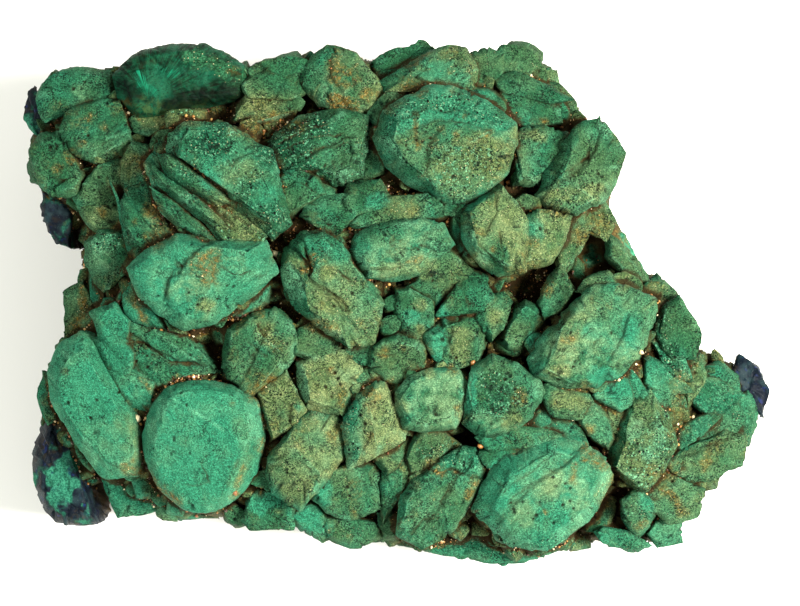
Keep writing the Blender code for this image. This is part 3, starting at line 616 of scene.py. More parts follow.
# %% Outlines of the small crystals
# Each row: the top's height, the way it faces and its tilt in degrees, then x, y of each outline corner
SMALL = {
    "upper_left": ("green", [
        (20, 95, 14, 25, 6.8, 26.5, 6, 29.5, 5.3, 30.6, 6.6, 28, 7.4, 25.2, 7.9),
        (19.6, 120, 16, 23.7, 6.6, 24.5, 6.2, 25.1, 7.5, 24.3, 8.2),
        (20.6, 80, 14, 24.5, 8.5, 25.6, 7.6, 28.5, 7, 29.8, 7.4, 30.3, 9, 29, 9.6, 25, 9.6),
        (21, 130, 16, 30.6, 6.8, 31.4, 6, 32.8, 5, 33.6, 5.2, 32.2, 8, 31.4, 9.2, 30.4, 8.2),
        (20.6, 160, 14, 12.1, 16, 13, 14.7, 15, 15, 15.2, 16.5, 15, 18, 12.8, 18.8),
        (15.8, 190, 15, 2.6, 16.5, 3.3, 15, 4.5, 18, 4.8, 19, 2.8, 17.8),
        (19.4, 100, 12, 13.2, 11.6, 14, 10.9, 16.3, 10.8, 16.8, 12.6, 14.6, 13.2, 13.4, 12.8),
        (20.4, 60, 15, 16.8, 10.9, 20, 10.4, 20.6, 11.8, 18.4, 12.8, 17, 12.4),
        (21.4, 90, 10, 15.2, 13.2, 16.4, 13, 17.4, 13.6, 16.6, 14.6, 15.4, 14.8),
        (22.4, 20, 14, 16, 13.4, 16.8, 13, 17.8, 13.2, 17.2, 14.4, 16.4, 14.6)]),
    "left": ("green", [
        (21, 200, 16, 12.1, 21.2, 13.3, 23.2, 14.5, 25.8, 14.2, 26.6, 13.6, 26.8, 12.8, 23.5),
        (22.8, 170, 18, 13.5, 28.2, 15.5, 30, 16.2, 32.6, 13.5, 31.8, 12.2, 30.5),
        (22.4, 215, 14, 9.6, 31.6, 11.4, 30.8, 12.9, 32.2, 12.4, 34.2, 10.4, 34),
        (22.2, 205, 14, 9.8, 34.2, 11.6, 33.8, 13.2, 35.4, 12.8, 37.4, 10.8, 37),
        (22, 225, 14, 11.2, 37.2, 13.2, 36.8, 15.2, 38.4, 15, 40.6, 12.6, 40.2),
        (18.4, 200, 14, 9.7, 32, 10.5, 30.3, 12, 30.1, 11.2, 31.5, 10, 32.8),
        (17.8, 210, 14, 9.5, 32.7, 11.8, 32.9, 11.6, 34.5, 9.8, 34.3),
        (19.6, 230, 14, 11.4, 30, 12.6, 29, 13.6, 30.6, 12.4, 31.4),
        (16.8, 190, 12, 8.6, 27.2, 9.8, 28, 9.7, 30.5, 9.2, 33, 8.7, 30.5),
        (16.8, 200, 15, 4.4, 38, 3.8, 40.3, 4.4, 42, 6, 41, 5.6, 38.5),
        (16.4, 260, 12, 10, 47.5, 13.5, 47.8, 15, 48.6, 15, 51, 11.8, 51.4),
        (16, 280, 12, 15, 49, 18.2, 50.8, 20, 51.8, 17.2, 52, 15.2, 51),
        (22.4, 100, 12, 22.2, 31.8, 24.5, 29.3, 26.3, 27.7, 27.2, 27.5, 26.4, 30, 24, 32)]),
    "stack_ledges": ("green", [
        (26.3, 235, 18, 16.6, 15.9, 17.4, 15.9, 20.2, 18, 22.8, 19.9, 22, 20.3, 19.4, 18.8, 17.2, 17.2),
        (26, 235, 18, 15.6, 16.6, 16.6, 17.4, 19, 19.6, 21.4, 21.2, 22.6, 22.6, 21.2, 22.1, 18.6, 20.3, 16.2,
         18.4),
        (25.6, 235, 18, 15.6, 18.6, 16.6, 19.6, 18.8, 21.2, 20.8, 22.2, 22.6, 23.8, 21, 23.8, 18.2, 22.4,
         16.2, 20.6)]),
    "left_rusty": ("stained", [
        (18.8, 215, 12, 8, 20.6, 9.8, 20.8, 11.8, 20.7, 12.4, 21.2, 12.2, 22.5, 11.8, 23.7, 10.8, 23.7, 9.8,
         23.1, 8.8, 22),
        (18.6, 120, 10, 12, 9.9, 13, 9.7, 14, 11, 13.6, 12.2, 12.4, 12),
        (16.4, 185, 12, 6.6, 29.5, 7.8, 28.6, 8.7, 30.5, 8.8, 31.8, 7.8, 33.5, 6.6, 34.2),
        (20.2, 90, 12, 22.5, 12.4, 24, 11.9, 26, 11.8, 27, 13, 25.4, 14.2, 24, 14),
        (20.6, 60, 14, 26.2, 11.9, 29, 11.6, 30.2, 12.4, 29, 13.6, 27.2, 14.6, 26.6, 13.4)]),
    "upper_right": ("green", [
        (19, 70, 16, 47.2, 5.8, 49, 5.1, 50, 5.5, 50, 7.8, 47.5, 8.8),
        (17.8, 60, 18, 49.6, 6, 50.2, 4.9, 51.5, 4.2, 53, 4.4, 54, 5.2, 54, 6.2, 53, 7, 51, 7.2),
        (17.2, 30, 18, 54, 6.2, 55.1, 6.5, 54.5, 8.6, 53, 7.5),
        (19.8, 80, 16, 49.8, 8, 51.5, 7.4, 54.5, 8.7, 56.2, 9.7, 55, 10, 50.5, 9),
        (18.8, 20, 16, 55, 9.5, 56, 9.7, 57.2, 11.2, 56.8, 11.9, 55.2, 10.8),
        (17.6, 30, 14, 54.4, 8.4, 56, 8.6, 57.4, 10.2, 57.6, 12.2, 56.4, 13.2, 54.6, 11.6),
        (21.2, 75, 12, 46.7, 9.7, 47.5, 9, 48.5, 8.7, 50.5, 10, 50.3, 11.2, 48.2, 10.8),
        (21.8, 130, 14, 37.1, 11.5, 38.3, 9.7, 39.2, 9.5, 40, 9.9, 38.8, 11.8, 37.8, 12.4),
        (21.6, 160, 12, 36.2, 13.4, 37.8, 13.2, 38.6, 15.2, 38.2, 17, 36.4, 17.4),
        (22.4, 320, 14, 50.8, 20.5, 52.5, 19.5, 54.5, 20.5, 53.2, 21.6, 52.2, 22.1),
        (20.6, 0, 14, 57, 22.2, 58.5, 21.4, 58.9, 22.4, 57.6, 24.8, 56.4, 26.8, 56, 25.2),
        (18.8, 35, 12, 61.4, 23.2, 62.5, 25, 64, 26.2, 65.6, 27.8, 64.6, 28.2, 62.6, 27, 61, 25.6),
        (18.4, 30, 12, 65.8, 27.8, 67.5, 29.3, 67.8, 30, 66.4, 31.2, 65.2, 29.6, 65, 28.4),
        (21, 60, 12, 61.6, 27.8, 62.5, 27, 64.3, 28.1, 64.3, 29, 62.2, 28.5),
        (22.6, 70, 12, 58, 29, 59, 27.8, 60.8, 27.2, 61.9, 28.6, 60, 29.2),
        (22.6, 140, 12, 54, 30.5, 55.3, 28, 56, 27.2, 57.3, 29, 56, 31, 54.5, 31.7)]),
    "centre": ("green", [
        (22.8, 60, 10, 30, 33.5, 31.2, 32.8, 32.5, 33, 33.5, 34.2, 33, 35.2, 31.2, 35.5, 29.8, 35),
        (23.8, 95, 14, 34.8, 20, 35.2, 18.8, 37.8, 18.4, 38.8, 19.8, 37, 20.8, 35.5, 21.2),
        (23.2, 60, 14, 31, 18.6, 32.4, 18.2, 33.8, 18.9, 33.4, 19.9, 31.6, 19.6),
        (23.2, 200, 10, 38, 30, 39.6, 29.6, 39.8, 30.6, 38.5, 31.3),
        (22.9, 250, 10, 37.8, 32.2, 39.7, 31.8, 39.9, 33, 38.2, 33.8),
        (23.4, 40, 18, 47.9, 31.8, 48.5, 30.3, 50.3, 29.7, 50.9, 30.3, 50.4, 32.2, 49.2, 33.6),
        (23, 320, 14, 50, 33.8, 50.8, 32.5, 51.5, 31, 52.5, 30.5, 54.5, 31.5, 53.5, 33.3, 52.8, 34.8, 51.5,
         35.1),
        (22.6, 10, 10, 52.8, 34.4, 53.6, 33.2, 54.5, 33.4, 54.2, 34.8, 53.2, 35),
        (24.2, 200, 20, 45, 23, 45.8, 21.5, 46.6, 21.5, 46.9, 23.5, 48.5, 25.8, 48.8, 26.5, 46.8, 26.2, 45.2,
         24.5),
        (23.8, 90, 14, 44.3, 20, 46.5, 19.8, 46.4, 21.3, 44.7, 21.2),
        (22.9, 80, 10, 46.2, 27, 47.6, 26.8, 48.9, 27.6, 48.2, 28.3, 46.6, 28),
        (23, 70, 14, 35.2, 40, 35.6, 37.8, 37, 36.4, 38.5, 38.5, 36.2, 39.8),
        (22.4, 0, 10, 46, 33, 47.8, 31.6, 48.4, 33.2, 47.6, 35.4, 46.2, 35),
        (22.8, 200, 8, 34.2, 34.6, 36.6, 34.2, 37.6, 35.4, 36.2, 36.6, 34.8, 36)]),
    "front": ("green", [
        (22.8, 300, 14, 40.7, 45.8, 41.5, 43.8, 42.5, 43, 44, 43, 44.8, 44.5, 44, 46.2, 41.8, 47.8),
        (19.6, 270, 12, 38, 51.6, 40.2, 51.8, 40.2, 53.6, 38.4, 53.8),
        (24, 80, 8, 48.4, 43.7, 49.5, 43, 52, 42.8, 55, 43.4, 52.5, 44.2, 49.2, 44.6),
        (23.6, 60, 8, 48.4, 45.2, 52, 44.5, 53.6, 44.9, 50.8, 45.9, 48.8, 46),
        (19.8, 275, 14, 32.6, 51.5, 35.2, 52, 37.2, 52, 37.8, 53.6, 36.2, 54.5, 35, 54.6, 33, 53.6),
        (19.8, 260, 14, 29.2, 52, 30.2, 50.7, 31, 50.3, 31.7, 50.6, 33.3, 53.3, 32.2, 54, 30.2, 53),
        (20.4, 255, 14, 24.6, 52, 25.2, 49.5, 25.8, 48.9, 27.8, 49.3, 29.1, 51, 28.8, 52.6, 25.2, 52.6),
        (18.6, 250, 12, 22.4, 52, 23.2, 50.5, 24.8, 52.3, 23.2, 52.8),
        (22.2, 200, 10, 25.7, 46.2, 26.4, 45.6, 27.4, 46.6, 26.6, 47.4),
        (21.8, 210, 10, 24.8, 47.2, 26.8, 47.4, 27.4, 48.4, 25.6, 48.8, 24.6, 48.4),
        (22.4, 60, 12, 37.8, 45.6, 39.4, 44.6, 40.6, 44.2, 40.4, 45.8, 38.8, 47)]),
    "right": ("green", [
        (22.3, 95, 14, 52.4, 44, 54.5, 42.5, 56.2, 41.8, 58, 43.3, 58.2, 44.3, 54.8, 44.2),
        (22.3, 170, 12, 52.7, 41.8, 54, 40.5, 55, 40.3, 54.8, 42, 53.5, 42.8),
        (22.7, 20, 12, 57.9, 41.5, 59, 39.8, 60.5, 41.2, 61.4, 43.8, 60.8, 44.5, 58.8, 43.2),
        (22, 40, 12, 61.4, 36.5, 62.4, 36.1, 63.8, 37.8, 65, 40, 64, 40.6),
        (20.9, 10, 12, 64.8, 36.2, 66.8, 37, 68.4, 38.8, 66.2, 39.1, 64.8, 38.2),
        (20.6, 330, 12, 65.3, 39.3, 67.2, 39, 68.3, 40, 67.5, 41.3, 66, 41.2),
        (19.6, 350, 12, 68.4, 39.5, 69.1, 41, 67.7, 43.5, 67, 42.5),
        (20.4, 30, 12, 65.7, 34.5, 67.8, 35.7, 68.8, 37.7, 67.2, 37.4),
        (17.8, 60, 12, 70.6, 37, 72.2, 36.5, 73.8, 37.8, 74, 39, 72.6, 38.2),
        (17.4, 0, 14, 74, 40, 75, 39.6, 76, 40.8, 75.6, 43, 75, 44.4, 74.2, 44.4, 73.8, 42),
        (18.8, 20, 14, 69, 44, 71, 41.4, 74, 40.7, 74.6, 41.7, 73.3, 43.5, 70.8, 44.3),
        (19.6, 130, 14, 67.2, 44.5, 68.5, 42.5, 70.8, 41.6, 71.8, 41.8, 70.4, 43.2, 68.2, 44.8),
        (20, 290, 16, 62.6, 50.2, 64, 49.1, 65.6, 51, 64.8, 52.4, 63.8, 53.5, 62.8, 51.8),
        (17.8, 300, 14, 65.3, 53.6, 66.2, 52.2, 67.9, 52.6, 68, 54.1, 66, 54.5),
        (18.6, 280, 12, 60, 53.4, 61.2, 52.6, 63.2, 53.8, 65.4, 54.4, 63.8, 55.2, 61.2, 54.7),
        (21, 310, 12, 63.6, 46.6, 66, 45.6, 67, 46.8, 65, 48.4, 63.6, 48)]),
    "right_rusty": ("stained", [
        (20, 20, 14, 58.5, 22.5, 59, 20.8, 60, 20.2, 61.2, 22.2, 60.5, 23.5),
        (21.6, 330, 10, 61, 40.8, 62.4, 40.9, 64, 41.4, 63, 43, 61.6, 43),
        (18.8, 60, 14, 68.4, 36.2, 70.1, 35.7, 70.5, 36.4, 69.6, 38.8, 69, 40),
        (21, 280, 10, 44.8, 50, 46.4, 48, 47.8, 47.6, 47.8, 50.4, 45.6, 52.4)]),
    "front_base": ("green", [
        (17.6, 268, 14, 38.4, 51.8, 43, 51.2, 48, 52.6, 50.8, 53.6, 50.2, 55.4, 46.2, 55.7, 42.4, 55, 38.8,
         54),
        (17.4, 272, 12, 46.6, 52.8, 52, 53.2, 56, 53, 57, 54.4, 53.6, 55.9, 50, 56.2, 46.8, 55.6),
        (14.2, 285, 24, 53.6, 52, 58, 51.4, 60.8, 52.2, 61, 53.4, 58.2, 54.8, 54.6, 54.9),
        (14.6, 300, 20, 59.4, 50.4, 63, 50, 66.6, 51.4, 67.6, 53.2, 64, 54.6, 60, 53.8),
        (12.6, 262, 20, 31, 51.8, 36, 52.4, 41, 52.4, 42, 53.8, 37, 54.3, 32, 53.4),
        (15.4, 330, 16, 64.4, 46.6, 68, 45.6, 70, 47.2, 68.6, 50.4, 66.6, 52.6, 64.2, 50.4)]),
    "left_azurite": ("azurite", [
        (13.2, 190, 14, 7.6, 26.4, 7.7, 25.8, 9, 25, 9.4, 26.5, 8.6, 27.4)]),
}
print("groups of small crystals:", len(SMALL))

# %% Build the small crystals
SMALL_COMMON = dict(power=75.0, layers=0.10, dark=0.15, blocky=0.5, teal=0.25, olive=0.50, rust=0.20)
SMALL_LOOKS = {
    "left": dict(teal=0.85, olive=0.25, rust=0.05, pale=0.4, blocky=0.3),
    "front_base": dict(olive=0.15, rust=0.05, dark=0.12, teal=0.75, layers=0.30, layer_pitch=0.9,
                       grain_axis=heading(270, 60)),
    "stack_ledges": dict(olive=0.30, rust=0.15, dark=0.45, blocky=0.2),
    "right": dict(dark=0.30, teal=0.6, olive=0.30),
    "upper_right": dict(dark=0.25),
}
CROWN_RISE = 2.2
CROWN_LEAN = 34.0
ROOT_LEAN = 8.0
ROOT_DEPTH = 7.0


def outline_planes(height, facing, tilt, outline, depth=ROOT_DEPTH):
    """Planes of a small crystal: one top, then a crown plane and a root plane through each outline edge, and
    a floor. An edge's outward direction is the edge turned a quarter to the right."""
    ring = (pairs(outline) - SHEET_CENTRE) * (1.0, -1.0)
    along = np.roll(ring, -1, axis=0) - ring
    if (ring[:, 0] * np.roll(ring[:, 1], -1) - ring[:, 1] * np.roll(ring[:, 0], -1)).sum() < 0.0:
        ring = ring[::-1]
        along = np.roll(ring, -1, axis=0) - ring
    outward = np.c_[along[:, 1], -along[:, 0]] / np.linalg.norm(along, axis=1)[:, None]
    rise = min(CROWN_RISE, 0.32 * np.ptp(ring, axis=0).min())
    level = np.c_[ring, np.full(len(ring), height - rise)]
    crown, root = math.radians(CROWN_LEAN), math.radians(ROOT_LEAN)
    crown_normals = np.c_[outward * math.cos(crown), np.full(len(ring), math.sin(crown))]
    root_normals = np.c_[outward * math.cos(root), np.full(len(ring), -math.sin(root))]
    normals = np.concatenate((crown_normals, root_normals))
    distances = (normals * np.concatenate((level, level))).sum(1) + 0.25
    top = heading(facing, tilt)
    middle = np.array((*ring.mean(0), height))
    normals = np.concatenate((normals, top[None], [(0.0, 0.0, -1.0)]))
    distances = np.append(distances, (top @ middle, depth - height))
    corners = np.concatenate((level, level - (0.0, 0.0, depth - rise), middle[None]))
    return normals, distances, corners


def build_small():
    """Every small crystal's skin, kept in its group."""
    groups = {}
    for group, (mineral, rows) in SMALL.items():
        look = {**COMMON, **SMALL_COMMON, **SMALL_LOOKS.get(group, {})}
        groups[group] = (mineral, [
            build_skin(group, outline_planes(*row[:3], row[3:]), look, 100 + 31 * len(groups) + number, 0.16)
            for number, row in enumerate(rows)])
    return groups


small = build_small()
print("small crystals:", sum(len(rows) for _, rows in small.values()),
      "triangles:", sum(len(s["faces"]) for _, rows in small.values() for s in rows))

# %% [markdown]
# ## Where the crevices are
# Rust and dark earth gather where a surface lies deeper than what stands around it, and shade falls there,
# which the finishes paint in with the earth as painted shade. So the tops of all the crystals are dropped
# into one map of heights over the sheet, the map is blurred, and each point compares its own height with the
# blurred one: far below means deep in a crevice.

# %% The height map
CELL = 0.20
MAP_SIZE = (450, 340)


def map_place(points):
    """Map cell of each point: the sheet's middle is the middle of the map."""
    column = np.clip((points[:, 0] / CELL + MAP_SIZE[0] / 2).astype(int), 0, MAP_SIZE[0] - 1)
    row = np.clip((points[:, 1] / CELL + MAP_SIZE[1] / 2).astype(int), 0, MAP_SIZE[1] - 1)
    return column, row


def box_blur(values, reach):
    """Mean over a square of 2 * reach + 1 cells: the difference of running sums, along each axis in turn."""
    for axis in (0, 1):
        padded = np.pad(values, [(reach + 1, reach) if k == axis else (0, 0) for k in (0, 1)], mode="edge")
        sums = np.cumsum(padded, axis=axis)
        width = 2 * reach + 1
        upper = np.take(sums, np.arange(width, sums.shape[axis]), axis=axis)
        lower = np.take(sums, np.arange(0, sums.shape[axis] - width), axis=axis)
        values = (upper - lower) / width
    return values


def height_map(items):
    """Highest point in each map cell; an empty cell takes its highest neighbour. -50 where nothing is."""
    heights = np.full(MAP_SIZE, -50.0)
    for item in items:
        np.maximum.at(heights, map_place(item["points"]), item["points"][:, 2])
    padded = np.pad(heights, 1, constant_values=-50.0)
    wide, deep = MAP_SIZE
    around = np.max([padded[a:a + wide, b:b + deep] for a in range(3) for b in range(3)], axis=0)
    return np.where(heights < -40.0, around, heights)


def blurred(heights, reach):
    """Blurred height of what is covered: blurred heights over blurred cover. Also gives the cover."""
    covered = (heights > -40.0).astype(float)
    cover = box_blur(box_blur(covered, reach), reach)
    total = box_blur(box_blur(np.where(covered > 0.0, heights, 0.0), reach), reach)
    return total / np.maximum(cover, 0.02), cover


crystals = skins + [s for _, rows in small.values() for s in rows]
heights = height_map(crystals + [bed])
print("map covered:", round(float((heights > -40.0).mean()), 2))

# %% [markdown]
# ## A crust of tiny crystals in the gaps
# The gaps between crystals aren't empty. A crust of tiny broken crystals and crumbs fills them to a
# millimetre or so below the rims. It is a height field: the blurred map, lowered, with broken facets at two
# sizes added. Only cells that can show are kept, and walls and a floor close the crust below, inside the
# bed.

# %% Build the crust
CRUST_BELOW = 1.20
CRUST_FLOOR = 12.0
# Each row: x, y, radius and depth of a hollow
HOLLOWS = ((47.2, 43.9, 1.9, 6.0), (53.0, 28.6, 3.6, 1.8), (59.6, 25.6, 2.4, 5.0), (49.5, 37.0, 1.2, 2.0))


def build_crust():
    """The crust's skin: a corner grid over the map, the kept cells' tops, their floor, and border walls."""
    level = blurred(heights, 4)[0]
    broad, wide_cover = blurred(heights, 9)
    level = level + 0.65 * np.maximum(broad - level, 0.0)
    columns, rows = MAP_SIZE
    x, y = np.meshgrid(*((np.arange(count) + 0.5 - count / 2) * CELL for count in MAP_SIZE), indexing="ij")
    flat = np.c_[x.ravel(), y.ravel(), level.ravel()]
    bent = flat + 0.5 * np.stack([noise(flat, 1.2, 91 + k) for k in range(3)], 1)
    lumps = facets(bent, 1.7, 95, 1.1, 0.9, 0.25) + facets(bent, 0.75, 115, 0.45, 0.4, 0.12)
    lumps += 0.16 * noise(flat, 0.34, 135)
    crust = level - CRUST_BELOW + lumps.reshape(MAP_SIZE) - 6.0 * (1.0 - ramp(wide_cover, 0.54, 0.80))
    for *middle, reach, depth in HOLLOWS:
        across, up = (np.array(middle) - SHEET_CENTRE) * (1.0, -1.0)
        crust -= depth * ramp(1.0 - np.hypot(x - across, y - up) / reach, 0.0, 0.6)
    top = height_map(crystals)
    shows = (crust > top - 0.15) & (wide_cover > 0.66) & (crust > CRUST_FLOOR + 1.5)
    keep = box_blur(shows.astype(float), 2) > 0.12
    keep[:3], keep[-3:], keep[:, :3], keep[:, -3:] = False, False, False, False
    corner = np.arange(columns * rows).reshape(MAP_SIZE)
    a, b, c, d = corner[:-1, :-1], corner[1:, :-1], corner[1:, 1:], corner[:-1, 1:]
    cell = keep[:-1, :-1]
    tops = np.stack((a, b, c, d), -1)[cell]
    lows = tops[:, ::-1] + columns * rows
    walls = []
    for axis, shift, edge in ((0, 1, (a, d)), (0, -1, (c, b)), (1, 1, (b, a)), (1, -1, (d, c))):
        bare = cell & ~np.roll(cell, shift, axis=axis)
        first, last = edge[0][bare], edge[1][bare]
        walls.append(np.stack((first, last, last + columns * rows, first + columns * rows), -1))
    quads = np.concatenate((tops, lows, *walls))
    triangles = np.concatenate((quads[:, (0, 1, 2)], quads[:, (0, 2, 3)]))
    upper = np.c_[x.ravel(), y.ravel(), np.maximum(crust, CRUST_FLOOR + 0.2).ravel()]
    lower = upper * (1.0, 1.0, 0.0) + (0.0, 0.0, CRUST_FLOOR)
    points = np.concatenate((upper, lower))
    slope_x, slope_y = np.gradient(np.maximum(crust, CRUST_FLOOR), CELL)
    outward = np.c_[-slope_x.ravel(), -slope_y.ravel(), np.ones(columns * rows)]
    outward = np.tile(outward / np.linalg.norm(outward, axis=1)[:, None], (2, 1))
    used, faces = np.unique(triangles, return_inverse=True)
    look = {**COMMON, "olive": 0.9, "rust": 0.7, "pale": 0.2, "dark": 0.3, "teal": 0.0}
    none = np.zeros(len(used))
    skin_part = dict(name="crust", points=points[used], outward=outward[used], edge=none,
                     faces=faces.reshape(-1, 3), hole=none, line=none, look=look)
    return skin_part, np.where(keep & (crust > top), crust, np.nan)


crust, crust_map = build_crust()
print("crust triangles:", len(crust["faces"]))

# %% [markdown]
# ## Shards grown on the crust
# Small crystals stand half sunk in the crust wherever a gap is wide enough, each with its own outline, lean
# and stain. Places are tried in a fixed random order, and a place is taken when no shard stands too near.
# Wider gaps carry bigger shards.

# %% Build the shards
SHARD_COUNT = 420
SHARD_DEPTH = 3.4


def random_outline(rng, place, radius):
    """Five to seven corners round an ellipse: angles and radii are jittered, and one axis is drawn out."""
    count = rng.integers(5, 8)
    angles = (np.arange(count) + rng.uniform(-0.28, 0.28, count)) * 2.0 * math.pi / count
    reach = radius * rng.uniform(0.8, 1.15, count)
    way = rng.uniform(0.0, math.pi)
    drawn = rng.uniform(1.0, 1.7)
    x, y = reach * np.cos(angles) * drawn, reach * np.sin(angles)
    turned = np.c_[x * math.cos(way) - y * math.sin(way), x * math.sin(way) + y * math.cos(way)]
    return [tuple(point) for point in turned * (1.0, -1.0) + place]


def build_shards():
    """Shards with uneven sizes, spaced apart by their own radii."""
    rng = np.random.default_rng(4)
    open_share = box_blur(box_blur((~np.isnan(crust_map)).astype(float), 4), 4)
    border_cover = blurred(height_map(crystals), 9)[1]
    columns, rows = np.nonzero(~np.isnan(crust_map))
    chance = 0.10 + open_share[columns, rows]
    order = rng.choice(len(columns), min(9000, len(columns)), replace=False, p=chance / chance.sum())
    taken, made = np.zeros((0, 3)), []
    for pick in order:
        cell = columns[pick], rows[pick]
        across, up = ((np.array(cell) + 0.5) - np.array(MAP_SIZE) / 2) * CELL
        radius = (0.42 + 0.95 * open_share[cell]) * rng.uniform(0.75, 1.30)
        apart = np.hypot(taken[:, 0] - across, taken[:, 1] - up) - 0.62 * (taken[:, 2] + radius)
        if len(made) >= SHARD_COUNT or (len(taken) and apart.min() < 0.0) or border_cover[cell] < 0.72:
            continue
        taken = np.append(taken, [(across, up, radius)], axis=0)
        place = np.array((across, -up)) + SHEET_CENTRE
        height = crust_map[cell] + radius * rng.uniform(0.25, 0.80)
        facing, tilt = rng.uniform(0, 360), rng.uniform(4, 34)
        planes = outline_planes(height, facing, tilt, random_outline(rng, place, radius), SHARD_DEPTH)
        look = {**COMMON, "power": 60.0, "layers": 0.05, "blocky": 0.35, "plates": 0.05, "pits": 0.2,
                "teal": rng.uniform(-0.2, 0.6), "olive": rng.uniform(0.3, 1.1), "rust": rng.uniform(0.2, 0.9),
                "dark": rng.uniform(0.0, 0.35), "pale": rng.uniform(0.0, 0.6)}
        made.append(build_skin("shard", planes, look, 500 + len(made), 0.16))
    return made


shards = build_shards()
print("shards:", len(shards), "triangles:", sum(len(s["faces"]) for s in shards))

# %% [markdown]
# ## How deep a point lies
# With the crust and shards in place the map is made again and blurred by three widths. Compared with the
# narrow blur, a point shows the seam where two crystals meet. Compared with the wide ones it shows the depth
# of a whole gap. Near the rim, where nothing stands around, both fade out.

# %% How deep a point lies
everything = crystals + shards + [crust, bed]
heights = height_map(everything)
seam_map, near_map, far_map = (blurred(heights, reach)[0] for reach in (2, 4, 12))
inside_map = ramp(blurred(heights, 9)[1], 0.55, 0.88)


def deepness(points):
    """0 on the tops, 1 deep in a crevice: how far a point lies below the map around it."""
    place = map_place(points)
    below = near_map[place] - points[:, 2]
    broad = far_map[place] - points[:, 2]
    return np.clip(0.80 * ramp(below, 0.10, 1.5) + 0.50 * ramp(broad, 1.2, 4.6), 0.0, 1.0) * inside_map[place]


def seamness(points):
    """1 in the narrow lines where two crystals meet, 0 elsewhere: how far a point lies below its close
    neighbours."""
    place = map_place(points)
    return ramp(seam_map[place] - points[:, 2], 0.05, 0.45) * (0.3 + 0.7 * inside_map[place])


print("deepest share of the crust:", round(float((deepness(crust["points"]) > 0.9).mean()), 2))
